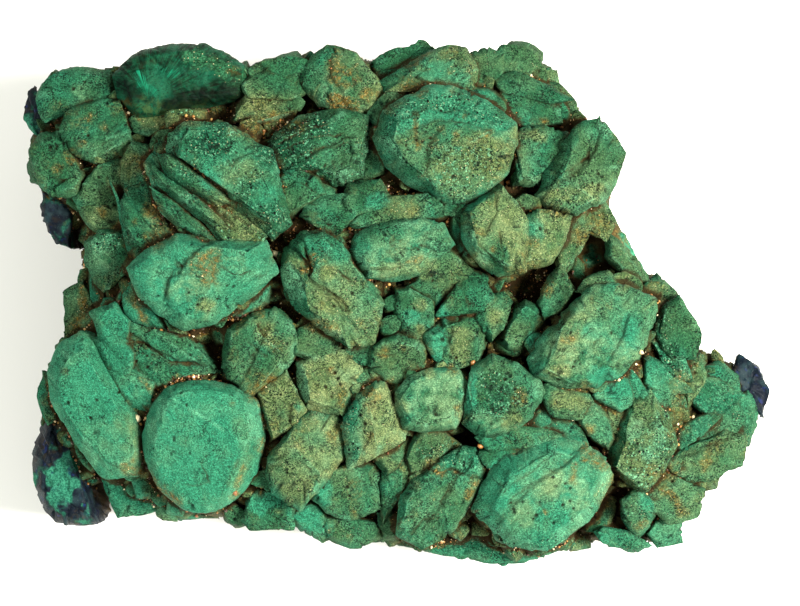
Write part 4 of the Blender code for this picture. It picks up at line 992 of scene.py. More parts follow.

# %% [markdown]
# ## Stains with places of their own
# Some stains belong to one place: rust in a notch, a bright teal end, a dusty pale corner. Two dark paths
# are painted shadow and one pale path a painted highlight, as noted in the table. Like the cracks, each is a
# point or a path on the plan sheet, here with a strength and a radius. Noise frays its border, because a
# stain that has soaked in has no drawn outline.

# %% Stains on the plan sheet
# Each row: strength and radius, then x, y of each point of its path
STAINS = {
    "rust": [(0.9, 0.5, 21.5, 20.7), (0.8, 0.5, 23, 21.3), (0.9, 0.9, 33.3, 6.4, 34, 8.2),
        (0.8, 0.6, 35.6, 8), (0.9, 0.7, 36.6, 9.5), (0.8, 0.6, 33.5, 10), (0.9, 0.8, 31.3, 10),
        (0.7, 0.6, 23.2, 7), (0.8, 0.6, 18.8, 11.7), (0.7, 0.6, 8.7, 11.8), (0.8, 0.6, 10.4, 12.6),
        (0.7, 0.5, 8, 14.4), (0.8, 0.8, 7, 15.5), (0.7, 0.6, 5.5, 16.9), (0.9, 0.4, 11.5, 15.4),
        (0.9, 0.9, 14, 16.2), (0.9, 0.5, 13.4, 11.6), (1, 0.7, 12.6, 10.4),
        (0.9, 1.3, 24, 12.9, 27, 12.8, 30, 12.6), (1, 0.8, 29, 11.8), (0.9, 0.6, 26.2, 12.6),
        (0.9, 0.5, 40.3, 9, 42.5, 9.4), (0.8, 0.5, 38.8, 11.2), (0.8, 0.4, 45, 7), (0.7, 0.5, 45.2, 9),
        (0.8, 0.35, 46.5, 11.7), (0.8, 0.35, 44.1, 13), (0.8, 0.35, 45.5, 13.5), (0.8, 0.35, 48.8, 13.5),
        (0.8, 0.3, 41.6, 11.5, 41.7, 15), (0.9, 0.5, 54.5, 12.2),
        (0.9, 0.45, 53.9, 20.6, 55.2, 20.8, 56.5, 21.3), (0.7, 0.7, 53, 24.2), (0.9, 0.5, 52.3, 25.4),
        (0.6, 0.4, 48.2, 23.2), (0.8, 0.4, 49.2, 25), (0.7, 0.35, 40.8, 26.2, 41.9, 25.9),
        (0.8, 0.6, 38.3, 35.2), (0.8, 0.3, 40.2, 34.8), (0.8, 0.4, 42.7, 34.7, 42.9, 36.8),
        (0.9, 0.5, 45.2, 36.8), (0.8, 0.4, 39, 38.2), (0.8, 0.5, 45.8, 41, 46.3, 42), (0.8, 0.8, 52.1, 39.7),
        (0.7, 0.5, 37.1, 40.6, 37.8, 39.6), (0.7, 0.4, 37.2, 43.7), (0.9, 0.35, 36.4, 39.3, 37.4, 38.9),
        (0.7, 0.5, 33.2, 37), (0.7, 0.45, 34.2, 38.6, 34.2, 40.7), (0.7, 0.4, 27.9, 38.4),
        (0.8, 0.5, 26, 40.2), (1, 0.7, 25.2, 39.4, 27.2, 38), (0.8, 0.6, 33.2, 43.4),
        (0.8, 0.4, 34, 42.4, 34.6, 44.5), (0.8, 0.5, 26.2, 43.9, 26.5, 45), (0.8, 0.3, 23.2, 40.4),
        (0.7, 0.35, 24.4, 46.8, 23.8, 48.4), (1, 0.5, 23.4, 49.4), (0.9, 0.4, 26.2, 49.1),
        (0.7, 0.3, 33.7, 46.8), (0.7, 0.4, 34.5, 46.4), (0.8, 0.4, 32.8, 53), (0.8, 0.5, 34.8, 53.6),
        (1, 0.5, 35.3, 51.5), (0.8, 0.3, 40.3, 46.9), (1, 0.5, 43, 46.5, 44.2, 47.3),
        (0.9, 0.5, 47.3, 47.9, 46.9, 49.5), (0.9, 0.4, 47.2, 51.3), (0.8, 0.4, 57.3, 46.5, 57.1, 48.2),
        (0.8, 0.3, 54.6, 51.2), (1, 0.5, 58.4, 44.8, 60.4, 46.7), (1, 0.4, 58.2, 45.7),
        (0.9, 0.4, 66.8, 43.3), (0.8, 1, 61.6, 48, 60, 49.6), (0.8, 0.7, 58.6, 38.6), (0.9, 0.7, 58.8, 42.8),
        (0.7, 0.5, 56.4, 33.8, 57.2, 34.1), (0.7, 0.9, 67.9, 37.6, 68.3, 42.6), (0.8, 0.6, 69.8, 36.4),
        (0.7, 0.8, 71.8, 44.8, 70.5, 46.4), (1, 0.5, 66.4, 48.8, 67.4, 49.8, 68.3, 51.2),
        (0.8, 0.6, 65.2, 47, 67.4, 47.6), (0.8, 0.5, 63.4, 53, 64.4, 52.2),
        (1, 0.9, 19.9, 26.4, 21.5, 26, 20.9, 27.8), (0.9, 0.9, 15.2, 20.9, 17, 23.2), (0.8, 0.8, 15.8, 24.5),
        (0.9, 0.6, 10.2, 21.1), (0.8, 0.5, 11.3, 22.8), (1, 0.6, 8, 29, 8.1, 31, 7.2, 32.8),
        (0.6, 0.4, 6.4, 37.1), (0.8, 0.4, 13.2, 46.2), (0.9, 0.5, 13.4, 30, 14.4, 31.8),
        (0.8, 0.4, 14.3, 38, 15.2, 39), (0.9, 0.4, 17.5, 37.9),
        (1, 0.45, 12.4, 46.9, 15, 47.5, 16.3, 49.2, 18, 50.2), (0.8, 0.4, 9.9, 51.7),
        (0.8, 0.5, 31.2, 25.7, 30.5, 27), (0.9, 0.5, 36.2, 32.6), (0.9, 0.6, 31, 32.4, 34, 33.4),
        (0.9, 1.2, 59.8, 22.4, 58.4, 24.2), (0.9, 1.2, 52, 27.6, 54.5, 28.6), (0.6, 0.5, 60.6, 30.4),
        (1, 0.5, 26, 31.2), (0.9, 0.4, 27.5, 25.9)],
    "olive": [(0.9, 1.6, 15, 11.4, 19.6, 11.2), (0.5, 1.4, 22.6, 17.4, 25.4, 17),
        (0.8, 1.6, 22.4, 21.4, 25, 22.6), (0.8, 1, 23.6, 10.4, 27.4, 10.2), (0.7, 1.6, 13.4, 16.6),
        (1.1, 2.6, 45.4, 17, 48.6, 15.6), (0.8, 0.6, 51, 13.4, 54.4, 13.6),
        (0.8, 0.9, 54.4, 19.8, 59.4, 19.4), (0.8, 1.1, 52.4, 26.2, 55.4, 26), (0.8, 0.9, 50.8, 22, 51.4, 26),
        (0.8, 0.6, 47.2, 26, 48.6, 26.8), (0.7, 0.7, 43.2, 26.5, 42.3, 27.5),
        (0.7, 0.9, 38.4, 27.1, 41.4, 27), (0.8, 1.2, 46.2, 33.6, 46.2, 35.6), (0.7, 0.7, 42, 30.6),
        (0.8, 0.7, 42, 33), (0.7, 1, 49.4, 31.6), (0.7, 0.6, 43, 37.4), (0.9, 1.1, 51.2, 41.6),
        (0.8, 2, 38.4, 41, 38, 44.4), (0.4, 1, 24.3, 42.4, 24.6, 45.6, 23.6, 48), (0.7, 0.7, 27.8, 51.2),
        (0.5, 2.2, 51.6, 51.8), (0.4, 1.4, 55, 47.2, 54.6, 49.6), (0.8, 1, 62.2, 47.6, 64.6, 46.6),
        (0.7, 0.9, 55.8, 40, 57.6, 40.4), (0.8, 0.7, 56.4, 36.8, 55, 37), (0.4, 1.8, 56.4, 34.2, 57.6, 32.4),
        (0.8, 0.8, 62.4, 28.2), (0.4, 1, 12.2, 41.8, 13.3, 44.2, 13, 46.4), (0.8, 0.8, 15.2, 21.6),
        (0.7, 0.8, 13.6, 29.4), (0.8, 1, 29.5, 26.2), (0.8, 0.8, 32, 30, 34.4, 30.6), (0.8, 0.9, 32.8, 27.2),
        (0.7, 1.2, 26.5, 33.4), (0.7, 0.9, 40.6, 21.4), (0.7, 1, 66, 29.4), (0.8, 0.9, 20.8, 30.8)],
    "teal": [(1.1, 0.7, 13.6, 7.4, 14.4, 8.4, 15.4, 9.4), (0.8, 0.8, 16, 6.8, 17.4, 7.2),
        (0.9, 1.3, 40, 12.2, 43.4, 10.8, 47, 11.2, 50, 13), (1, 1.8, 11.4, 49.4, 13.4, 49.6),
        (0.9, 1.4, 16.4, 50.8, 18.6, 51.4), (0.9, 1, 27.4, 49.8, 25.8, 50.4), (0.9, 0.7, 45, 45.6),
        (1.6, 2.1, 6.8, 46.6, 5.8, 49.6), (0.9, 0.8, 45.5, 23.3, 46.5, 24.6),
        (0.8, 0.6, 46.8, 20.6, 48.2, 19.6), (0.8, 1, 53.4, 23), (0.8, 0.5, 44.1, 30.4, 44.4, 32),
        (0.8, 1, 43.4, 33.4, 43.8, 35.4), (0.7, 0.8, 41.3, 31.6), (0.9, 0.7, 46.9, 37.4, 46.8, 40.6),
        (1, 0.9, 35, 40.4, 35, 44.8), (0.9, 0.9, 32.4, 48.4, 32, 50),
        (0.9, 1.8, 50, 48.6, 53.6, 46, 57, 44.8), (0.9, 1, 62.8, 32.4, 62.4, 34.6), (0.8, 0.8, 59, 33),
        (1, 1.8, 60.4, 38.4), (0.8, 1, 65.4, 37.2), (0.8, 1, 64.8, 50), (1, 1.6, 30.6, 51.2, 31.6, 52.8),
        (1, 2.4, 16, 27.4, 16.6, 29), (0.9, 1, 21.2, 18), (0.7, 1.6, 43.8, 7, 46, 8), (0.8, 0.9, 48.8, 9.4),
        (1, 0.8, 53.4, 34), (0.8, 1, 37.6, 20.2), (0.9, 0.5, 30, 40.8)],
    # Dark: the first path, along the fibrous crystal's lower edge, and the one at x 66.2 to 66.4, y 32.6 to
    # 34.6, on the left of the smooth right crystal, are painted shadow
    "dark": [(1, 1.3, 17, 10.4, 20.4, 9.4, 23.4, 9.2), (0.9, 0.8, 12.4, 8.2, 13.2, 9.4),
        (0.9, 0.9, 35, 41, 35.2, 45), (0.7, 1.2, 66.8, 35.4, 67.6, 36.8),
        (0.6, 1, 41.6, 53.6, 46, 54.6, 52, 54.8, 58, 53.8),
        (0.6, 1.2, 39.4, 12, 42.4, 10.4, 46.4, 10.6, 50, 12.4), (0.6, 1.8, 49.2, 38.4, 50.4, 40.2),
        (0.8, 1.4, 20, 14.6, 22.6, 14.2), (0.8, 1.6, 28.2, 14.2, 31.6, 12.8),
        (0.6, 1.4, 66.2, 32.6, 66.4, 34.6), (0.5, 0.9, 42.6, 45.2), (0.7, 1, 9.6, 24.4, 12.4, 23.6),
        (0.6, 1.6, 45.2, 46, 46.4, 45), (0.4, 2.6, 45.2, 17.2, 47.6, 16.4)],
    # Pale: the path from x 47.6, y 41.8 to x 50, y 42.5, on the lower edge of the round centre crystal, is a
    # painted highlight
    "pale": [(1, 1.3, 19.6, 5.6, 22.4, 6.6, 24, 8.6), (0.9, 2.2, 43.4, 39.4, 43.8, 41),
        (0.9, 0.7, 47.6, 41.8, 50, 42.5), (0.9, 0.4, 29.4, 44.8, 32.6, 42.8),
        (0.8, 1.2, 18.2, 28.8, 19.6, 28.6), (0.8, 1.4, 37.6, 25.2, 41, 25),
        (0.8, 1.6, 55.6, 48.8, 57.6, 49.6), (0.7, 1.4, 55.4, 34.6, 58, 35), (0.8, 1.2, 10.2, 26),
        (0.8, 0.8, 7.6, 9), (0.9, 0.2, 69.6, 38.6, 71.4, 37.8, 74, 39.4), (0.8, 1, 33.6, 37.6),
        (0.7, 1, 64.8, 44, 64.2, 47.2), (0.8, 0.8, 69, 47), (0.8, 0.9, 39, 48.4)],
    "hole": [(1, 0.8, 20.6, 14.9, 22.4, 14.4), (1, 0.5, 39.6, 24.6, 39.8, 25.8),
        (1, 0.8, 42.8, 27.4, 44, 27.4), (0.9, 0.5, 17.5, 43.8, 17.2, 45.8), (0.9, 0.5, 33.6, 16.6, 34.8, 16),
        (1, 0.6, 49, 38.4, 49.8, 39.4), (1, 0.5, 43.2, 40.4, 43.6, 41.4), (0.9, 0.6, 28, 47.6, 30.6, 48.4),
        (0.9, 0.9, 60.8, 40, 61.4, 37.8), (1, 0.5, 9.4, 12.9, 11.4, 13.2), (1, 0.4, 14, 34.2),
        (0.9, 0.8, 53.2, 15.4, 55, 17.4), (0.8, 0.9, 20.4, 47.2), (0.9, 0.5, 9.6, 43.2),
        (0.9, 0.6, 53.4, 37.4, 55.8, 37)],
}


def stains(points):
    """For each kind, the strongest stain at a point: 0.9 * strength * ramp(1.4 - distance / radius + noise).
    Pinholes keep only the peaks of a finer noise."""
    places = on_sheet(points)
    low, high = places.min(0), places.max(0)
    frayed = 0.40 * rough(points, 0.9, 3, 421)
    found = {kind: np.zeros(len(points)) for kind in STAINS}
    for kind, rows in STAINS.items():
        for strength, radius, *path in rows:
            spots = pairs(path)
            if (spots.max(0) + 2.0 * radius > low).all() and (spots.min(0) - 2.0 * radius < high).all():
                apart = path_distance(places, path)[0] / radius
                share = 0.9 * strength * ramp(1.40 - apart + frayed, 0.0, 1.1)
                found[kind] = np.maximum(found[kind], share)
    found["hole"] = found["hole"] * ramp(noise(points, 0.36, 431), 0.15, 0.35)
    return found


print("stains:", {kind: len(rows) for kind, rows in STAINS.items()})

# %% [markdown]
# ## Measures stored on the surface
# Each finish reads a few measures that are stored on the mesh: how deep a point lies, how teal, olive,
# rusty, pale or dark it is, whether it is in a pinhole, and where a sharp rim gets a painted highlight. They
# could be worked out in the shader, but a shader can't see the crystals around it. Stored here once, a stain
# also stays where it is on its crystal.

# %% Surface measures
# Roughly the way to the key lamp. Olive and pale lean to skin that faces it: partly the crystals' real olive
# dust, partly painted light on their lit sides.
LIT_SIDE = np.array((0.78, -0.30, 0.25))


def measures(item):
    """All stored measures of one skin, each from 0 to 1."""
    points, outward, look = item["points"], item["outward"], item["look"]
    deep, seam = deepness(points), np.maximum(seamness(points), item["line"])
    stain = stains(points)
    cloud = rough(points, 5.0, 3, 201)
    # Olive and pale lean to the lit side, partly as painted light
    facing = outward @ LIT_SIDE
    olive = look["olive"] * ramp(facing + 0.75 * cloud, -0.35, 0.75) + 0.45 * ramp(deep, 0.05, 0.7)
    spots = rough(points, 2.0, 3, 211)
    rust = look["rust"] * ramp(spots + 0.8 * deep, 0.15, 0.75)
    rust = rust + 0.9 * ramp(deep + 0.4 * seam + 0.25 * spots, 0.22, 0.80)
    pale = look["pale"] * ramp(rough(points, 2.6, 3, 221) + 0.25 * facing, -0.30, 0.75)
    dark = look["dark"] * ramp(rough(points, 3.0, 3, 231), -0.55, 0.45)
    teal = look["teal"] + 0.32 * rough(points, 3.4, 3, 251) - 0.35 * deep
    # A painted highlight on sharp rims, fading out towards the crevices
    rim = ramp(item["edge"], 0.965, 1.0) * ramp(0.5 - deep, 0.0, 0.4)
    rim = rim * ramp(noise(points, 1.1, 241), -0.5, 0.5)
    teal = teal + 1.2 * stain["teal"]
    olive = (olive + stain["olive"] + 0.4 * stain["rust"]) * (1.0 - 0.8 * stain["teal"])
    rust = rust * (1.0 - stain["teal"]) + stain["rust"]
    found = dict(deep=deep, seam=seam, teal=teal, olive=olive, rust=rust, pale=pale + stain["pale"],
                 dark=dark + stain["dark"], rim=rim, hole=np.maximum(item["hole"], stain["hole"]))
    return {key: np.clip(value, 0.0, 1.0) for key, value in found.items()}


def add_mesh(name, parts, material, replaced=()):
    """One object at the origin from one or more skins, standing in the frame, with its measures stored."""
    points = np.concatenate([part["points"] for part in parts])
    offsets = np.cumsum([0] + [len(part["points"]) for part in parts[:-1]])
    faces = np.concatenate([part["faces"] + offset for part, offset in zip(parts, offsets)])
    mesh = bpy.data.meshes.new(name)
    mesh.vertices.add(len(points))
    mesh.vertices.foreach_set("co", (stand(points) * MM).astype(np.float32).ravel())
    mesh.loops.add(len(faces) * 3)
    mesh.loops.foreach_set("vertex_index", faces.astype(np.int32).ravel())
    mesh.polygons.add(len(faces))
    mesh.polygons.foreach_set("loop_start", np.arange(0, len(faces) * 3, 3, dtype=np.int32))
    mesh.update(calc_edges=True)
    for key in parts[0]["measures"]:
        layer = mesh.attributes.new(key, "FLOAT", "POINT")
        values = np.concatenate([part["measures"][key] for part in parts])
        layer.data.foreach_set("value", values.astype(np.float32))
    mesh.shade_smooth()
    mesh.materials.append(material)
    piece = bpy.data.objects.new(name, mesh)
    bpy.context.scene.collection.objects.link(piece)
    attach(piece, "root")
    if replaced:
        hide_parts(*replaced)
    return piece


for item in everything:
    item["measures"] = measures(item)
print("measures stored:", ", ".join(bed["measures"]))

# %% [markdown]
# ## Finishes
# All green finishes share one recipe: a green to teal ground, then pale, olive and rust laid over it by the
# stored measures, then pinholes and hairline cracks, and a fine speckle of light and near-black grains a
# tenth of a millimetre across. Roughness is high and the bump is as fine as the grains, so the stone looks
# dull and sugary. A finish has dozens of shader nodes, so a small class places them, and each finish reads
# as a list of layers.

# %% Node helpers
class Board:
    """A short way to place shader nodes: each call adds one or a few and returns an output."""

    def __init__(self, name):
        self.material = bpy.data.materials.new(name)
        self.material.use_nodes = True
        self.tree = self.material.node_tree
        self.shader = self.tree.nodes["Principled BSDF"]
        self.place = self.add("ShaderNodeTexCoord").outputs["Object"]

    def add(self, kind, **settings):
        node = self.tree.nodes.new(kind)
        for key, value in settings.items():
            setattr(node, key, value)
        return node

    def join(self, source, target):
        """A socket is linked; a plain value is set."""
        if isinstance(source, bpy.types.NodeSocket):
            self.tree.links.new(source, target)
        else:
            target.default_value = source

    def stored(self, key):
        """A measure stored on the mesh."""
        return self.add("ShaderNodeAttribute", attribute_name=key).outputs["Fac"]

    def texture(self, kind, size_mm, place=None, **settings):
        """A texture node with features of about size_mm, on Object coordinates unless told otherwise."""
        node = self.add(kind, **settings)
        self.join(self.place if place is None else place, node.inputs["Vector"])
        node.inputs["Scale"].default_value = 1.0 / (size_mm * MM)
        return node

    def cloud(self, size_mm, detail=3.0, lift=0.5):
        """Noise with features of about size_mm, from 0 to 1."""
        node = self.texture("ShaderNodeTexNoise", size_mm)
        node.inputs["Detail"].default_value = detail
        node.inputs["Roughness"].default_value = lift
        return node.outputs["Fac"]

    def grains(self, size_mm):
        """A random number from 0 to 1 for each grain of size_mm, and the distance to its middle."""
        node = self.texture("ShaderNodeTexVoronoi", size_mm)
        split = self.add("ShaderNodeSeparateColor")
        self.join(node.outputs["Color"], split.inputs["Color"])
        return split.outputs["Red"], node.outputs["Distance"]

    def cracks(self, size_mm, bend_mm):
        """Distance to the borders of cells of about size_mm, bent by noise: 0 on a border."""
        bends = self.texture("ShaderNodeTexNoise", 0.9)
        bends.inputs["Detail"].default_value = 3.0
        moved = self.add("ShaderNodeVectorMath", operation="MULTIPLY_ADD")
        self.join(bends.outputs["Color"], moved.inputs[0])
        moved.inputs[1].default_value = (bend_mm * 2.0 * MM,) * 3
        self.join(self.place, moved.inputs[2])
        place = moved.outputs["Vector"]
        node = self.texture("ShaderNodeTexVoronoi", size_mm, place, feature="DISTANCE_TO_EDGE")
        return node.outputs["Distance"]

    def span(self, value, low, high, start=0.0, end=1.0):
        """Map low..high to start..end, clamped, with a smooth step."""
        node = self.add("ShaderNodeMapRange", interpolation_type="SMOOTHSTEP")
        self.join(value, node.inputs["Value"])
        for key, number in zip(("From Min", "From Max", "To Min", "To Max"), (low, high, start, end)):
            node.inputs[key].default_value = number
        return node.outputs["Result"]

    def work_out(self, operation, first, second):
        """One arithmetic step on two values."""
        node = self.add("ShaderNodeMath", operation=operation)
        self.join(first, node.inputs[0])
        self.join(second, node.inputs[1])
        return node.outputs["Value"]

    def plus(self, first, second):
        return self.work_out("ADD", first, second)

    def minus(self, first, second):
        return self.work_out("SUBTRACT", first, second)

    def times(self, first, second):
        return self.work_out("MULTIPLY", first, second)

    def larger(self, first, second):
        return self.work_out("MAXIMUM", first, second)

    def mix(self, share, first, second, blend="MIX"):
        """Lay the second colour over the first by share."""
        node = self.add("ShaderNodeMix", data_type="RGBA", blend_type=blend)
        self.join(share, node.inputs[0])
        self.join(first, node.inputs[6])
        self.join(second, node.inputs[7])
        return node.outputs[2]

    def finish(self, colour, roughness, height, depth_mm, specular=0.3, strength=0.8):
        """Wire colour, roughness and a bump of depth_mm into the shader."""
        self.join(colour, self.shader.inputs["Base Color"])
        self.join(roughness, self.shader.inputs["Roughness"])
        self.shader.inputs["Specular IOR Level"].default_value = specular
        bump = self.add("ShaderNodeBump")
        self.join(height, bump.inputs["Height"])
        bump.inputs["Distance"].default_value = depth_mm * MM
        bump.inputs["Strength"].default_value = strength
        self.join(bump.outputs["Normal"], self.shader.inputs["Normal"])
        return self.material


print("node helpers:", sum(not name.startswith("_") for name in vars(Board)))

# %% [markdown]
# ## The green skin
# On the real crystals the colour is a powdery crust of malachite grains, stained by iron where it has lain
# in wet gaps. The layers follow that order: ground, dust, stain, then pits and cracks, then what hides in
# the crevices, earth and painted shade together. Tones are linear colours, and a tone that darkens or
# lightens is multiplied in.

# %% Tones
TEAL = (0.019, 0.156, 0.082, 1.0)
GREEN = (0.014, 0.076, 0.030, 1.0)
PALE = (0.112, 0.236, 0.112, 1.0)
OLIVE = (0.052, 0.090, 0.025, 1.0)
STRAW = (0.168, 0.208, 0.082, 1.0)
RUST = (0.050, 0.031, 0.005, 1.0)
GOLD = (0.190, 0.104, 0.015, 1.0)
# Dark brown for the crevices: their earth together with painted shade
EARTH_AND_SHADE = (0.028, 0.015, 0.004, 1.0)
MINT = (0.130, 0.380, 0.210, 1.0)
CREAM = (0.500, 0.430, 0.230, 1.0)
PIT = (0.001, 0.006, 0.003, 1.0)
DARKENING = (0.22, 0.42, 0.36, 1.0)
LIGHTENING = (1.65, 1.50, 1.50, 1.0)
FINE_SHADE = (0.35, 0.42, 0.40, 1.0)
# Grain, pit and crack sizes in millimetres
GRAIN = 0.105
GLINT = 0.19
PINHOLE = 0.27
DEEP_PIT = 0.46
SPARK = 0.40
CRACK = 3.2
SMALL_CRACK = 1.45
print("grains to a millimetre:", round(1.0 / GRAIN, 1))


# %% Layers of the green finishes
def ground(b, olive_bias):
    """Green to teal, with pale dust and patches of olive to straw, all by the stored measures. Pale and olive
    lean to the lit side, partly as painted light.
    """
    teal = b.plus(b.stored("teal"), b.span(b.cloud(1.6, 4.0, 0.6), 0.25, 0.75, -0.22, 0.22))
    colour = b.mix(b.span(teal, 0.0, 1.0), GREEN, TEAL)
    pale = b.times(b.stored("pale"), b.span(b.cloud(1.2, 4.0, 0.6), 0.32, 0.62))
    colour = b.mix(b.times(pale, 0.85), colour, PALE)
    olive_tone = b.mix(b.span(b.cloud(0.8, 4.0, 0.6), 0.24, 0.80, 0.1, 0.8), OLIVE, STRAW)
    olive_tone = b.mix(b.times(b.stored("pale"), 0.8), olive_tone, STRAW)
    olive = b.span(b.plus(b.stored("olive"), olive_bias), 0.0, 1.1)
    patches = b.span(b.cloud(1.3, 4.0, 0.6), 0.05, 0.66, 0.15, 0.95)
    return b.mix(b.times(olive, patches), colour, olive_tone)


def stain_and_shade(b, colour):
    """Rust with gold in it, the tint of the dark crystals with a few painted shadows in it, and a painted
    mint highlight on sharp rims.
    """
    rust_tone = b.mix(b.span(b.cloud(0.35, 3.0, 0.7), 0.38, 0.70), RUST, GOLD)
    rust = b.times(b.stored("rust"), b.span(b.cloud(0.7, 4.0, 0.7), 0.30, 0.66))
    colour = b.mix(b.times(rust, 0.9), colour, rust_tone)
    # The dark measure also carries the painted shadows from the stain table
    colour = b.mix(b.times(b.stored("dark"), 0.85), colour, DARKENING, "MULTIPLY")
    # Painted highlight: mint on sharp rims
    return b.mix(b.times(b.stored("rim"), 0.30), colour, MINT)


def pitted_share(b):
    """Where pits gather: in clouds, less on teal and pale skin, and all over dark skin."""
    share = b.times(b.span(b.cloud(2.2, 3.0, 0.6), 0.35, 0.65, 0.30, 1.0),
                    b.span(b.stored("teal"), 0.4, 1.1, 1.0, 0.45))
    share = b.times(share, b.span(b.stored("pale"), 0.1, 0.9, 1.0, 0.55))
    return b.larger(share, b.stored("dark"))


def holes(b, size_mm, most, low, high):
    """Round holes, one to a grain: the distance to its middle minus a share of the grain's own number."""
    lot, away = b.grains(size_mm)
    return b.span(b.minus(away, b.times(lot, most)), low, high)


def crack_lines(b, patchy):
    """A few long cracks and more short ones, each kept only where its own cloud is thick."""
    long_ones = b.span(b.cracks(CRACK, 0.9), 0.022, 0.004)
    long_ones = b.times(long_ones, b.span(b.cloud(2.0, 3.0, 0.6), 0.50, 0.60))
    short_ones = b.span(b.cracks(SMALL_CRACK, 1.0), 0.042, 0.010)
    short_ones = b.times(short_ones, b.span(b.cloud(1.1, 3.0, 0.6), 0.50, 0.58))
    return b.larger(long_ones, b.times(short_ones, patchy))


print("layers ready")


# %% The green finish
def green_finish(name, olive_bias=0.0, lighter_crevices=0.0):
    """Ground, stains, painted glints on dark skin, speckle, pits and cracks, sparks on stained skin, then
    earth and painted shade in the crevices.
    """
    b = Board(name)
    colour = stain_and_shade(b, ground(b, olive_bias))
    patchy = pitted_share(b)
    glints = b.times(b.span(b.grains(GLINT)[0], 0.78, 0.92), b.span(b.stored("dark"), 0.1, 0.6))
    colour = b.mix(b.times(glints, 0.42), colour, MINT)
    lot = b.grains(GRAIN)[0]
    colour = b.mix(b.span(lot, 0.60, 0.86), colour, LIGHTENING, "MULTIPLY")
    colour = b.mix(b.times(b.span(lot, 0.40, 0.15), patchy), colour, PIT)
    pinholes = holes(b, PINHOLE, 0.34, -0.03, -0.10)
    colour = b.mix(b.times(pinholes, patchy), colour, PIT)
    deep_pits = holes(b, DEEP_PIT, 0.40, -0.02, -0.09)
    colour = b.mix(b.times(deep_pits, b.span(b.stored("dark"), 0.05, 0.6, 0.20, 1.0)), colour, PIT)
    colour = b.mix(b.times(crack_lines(b, patchy), 0.80), colour, PIT)
    stained = b.plus(b.plus(b.stored("olive"), b.stored("rust")), b.stored("dark"))
    sparks = b.times(b.span(b.grains(SPARK)[1], 0.16, 0.08), b.span(stained, 0.15, 1.1, 0.10, 1.0))
    colour = b.mix(b.times(sparks, 0.8), colour, CREAM)
    colour = b.mix(b.times(b.stored("hole"), 0.85), colour, PIT)
    # Earth and painted shade in the crevices: darker the deeper a point lies, and along the seams
    earth_and_shade = 0.85 - 0.40 * lighter_crevices
    colour = b.mix(b.span(b.stored("deep"), 0.30, 1.0, 0.0, earth_and_shade), colour, EARTH_AND_SHADE)
    colour = b.mix(b.times(b.stored("seam"), earth_and_shade), colour, EARTH_AND_SHADE)
    shade = b.span(b.cloud(0.14, 2.0, 0.9), 0.56, 0.40, 0.0, 0.70)
    colour = b.mix(shade, colour, FINE_SHADE, "MULTIPLY")
    fine = b.cloud(0.12, 2.0, 0.9)
    # A bump works its height out three times over, so the slow crack layer is left to the colour alone
    height = b.plus(b.plus(fine, b.times(lot, 0.8)), b.times(b.cloud(0.34, 3.0, 0.7), 0.35))
    height = b.minus(height, pinholes)
    return b.finish(colour, b.span(fine, 0.3, 0.7, 0.92, 0.65), height, 0.12, specular=0.08, strength=1.0)


finishes = {"green": green_finish("green_druse"), "stained": green_finish("olive_druse", 0.30),
            "crust": green_finish("rusty_crust", 0.25, 1.0)}
print("shader nodes in one green finish:", len(finishes["green"].node_tree.nodes))

# %% [markdown]
# ## The silky broken face
# One crystal is broken, and shows that the malachite inside is a fan of fine fibres. The finish turns Object
# coordinates into turn and distance round the fibres' root, squeezes the distance, and reads noise there,
# which gives rays. A drusy part of the crystal keeps its grains, where the stored pale stain says so.

# %% The silky finish
FIBRE_ROOT = (14.8, 10.4)
FIBRE_ROOT_HEIGHT = 19.0
RAYS = 14.0
SILK_DARK = (0.0004, 0.007, 0.003, 1.0)
SILK_MIDDLE = (0.0030, 0.056, 0.024, 1.0)
SILK_PATCH = (0.006, 0.074, 0.036, 1.0)
SILK_SHINE = (0.006, 0.200, 0.098, 1.0)
DRUSE_DARK = (0.006, 0.036, 0.014, 1.0)
DRUSE_BRIGHT = (0.022, 0.110, 0.046, 1.0)
SMOKE = (0.16, 0.16, 0.16, 1.0)


def ray_noise(b):
    """Noise at (turn * rays, distance squeezed to a seventh) round the fibres' root."""
    root = (np.array(FIBRE_ROOT) - SHEET_CENTRE) * (1.0, -1.0)
    moved = b.add("ShaderNodeVectorMath", operation="SUBTRACT")
    b.join(b.place, moved.inputs[0])
    moved.inputs[1].default_value = stand(np.array((*root, FIBRE_ROOT_HEIGHT))) * MM
    split = b.add("ShaderNodeSeparateXYZ")
    b.join(moved.outputs["Vector"], split.inputs["Vector"])
    far = b.add("ShaderNodeVectorMath", operation="LENGTH")
    b.join(moved.outputs["Vector"], far.inputs[0])
    fan = b.add("ShaderNodeCombineXYZ")
    b.join(b.times(b.work_out("ARCTAN2", split.outputs["Y"], split.outputs["X"]), RAYS), fan.inputs["X"])
    b.join(b.times(far.outputs["Value"], 0.14 / MM), fan.inputs["Y"])
    streak = b.add("ShaderNodeTexNoise")
    b.join(fan.outputs["Vector"], streak.inputs["Vector"])
    streak.inputs["Scale"].default_value = 2.4
    streak.inputs["Detail"].default_value = 3.0
    return streak.outputs["Fac"]


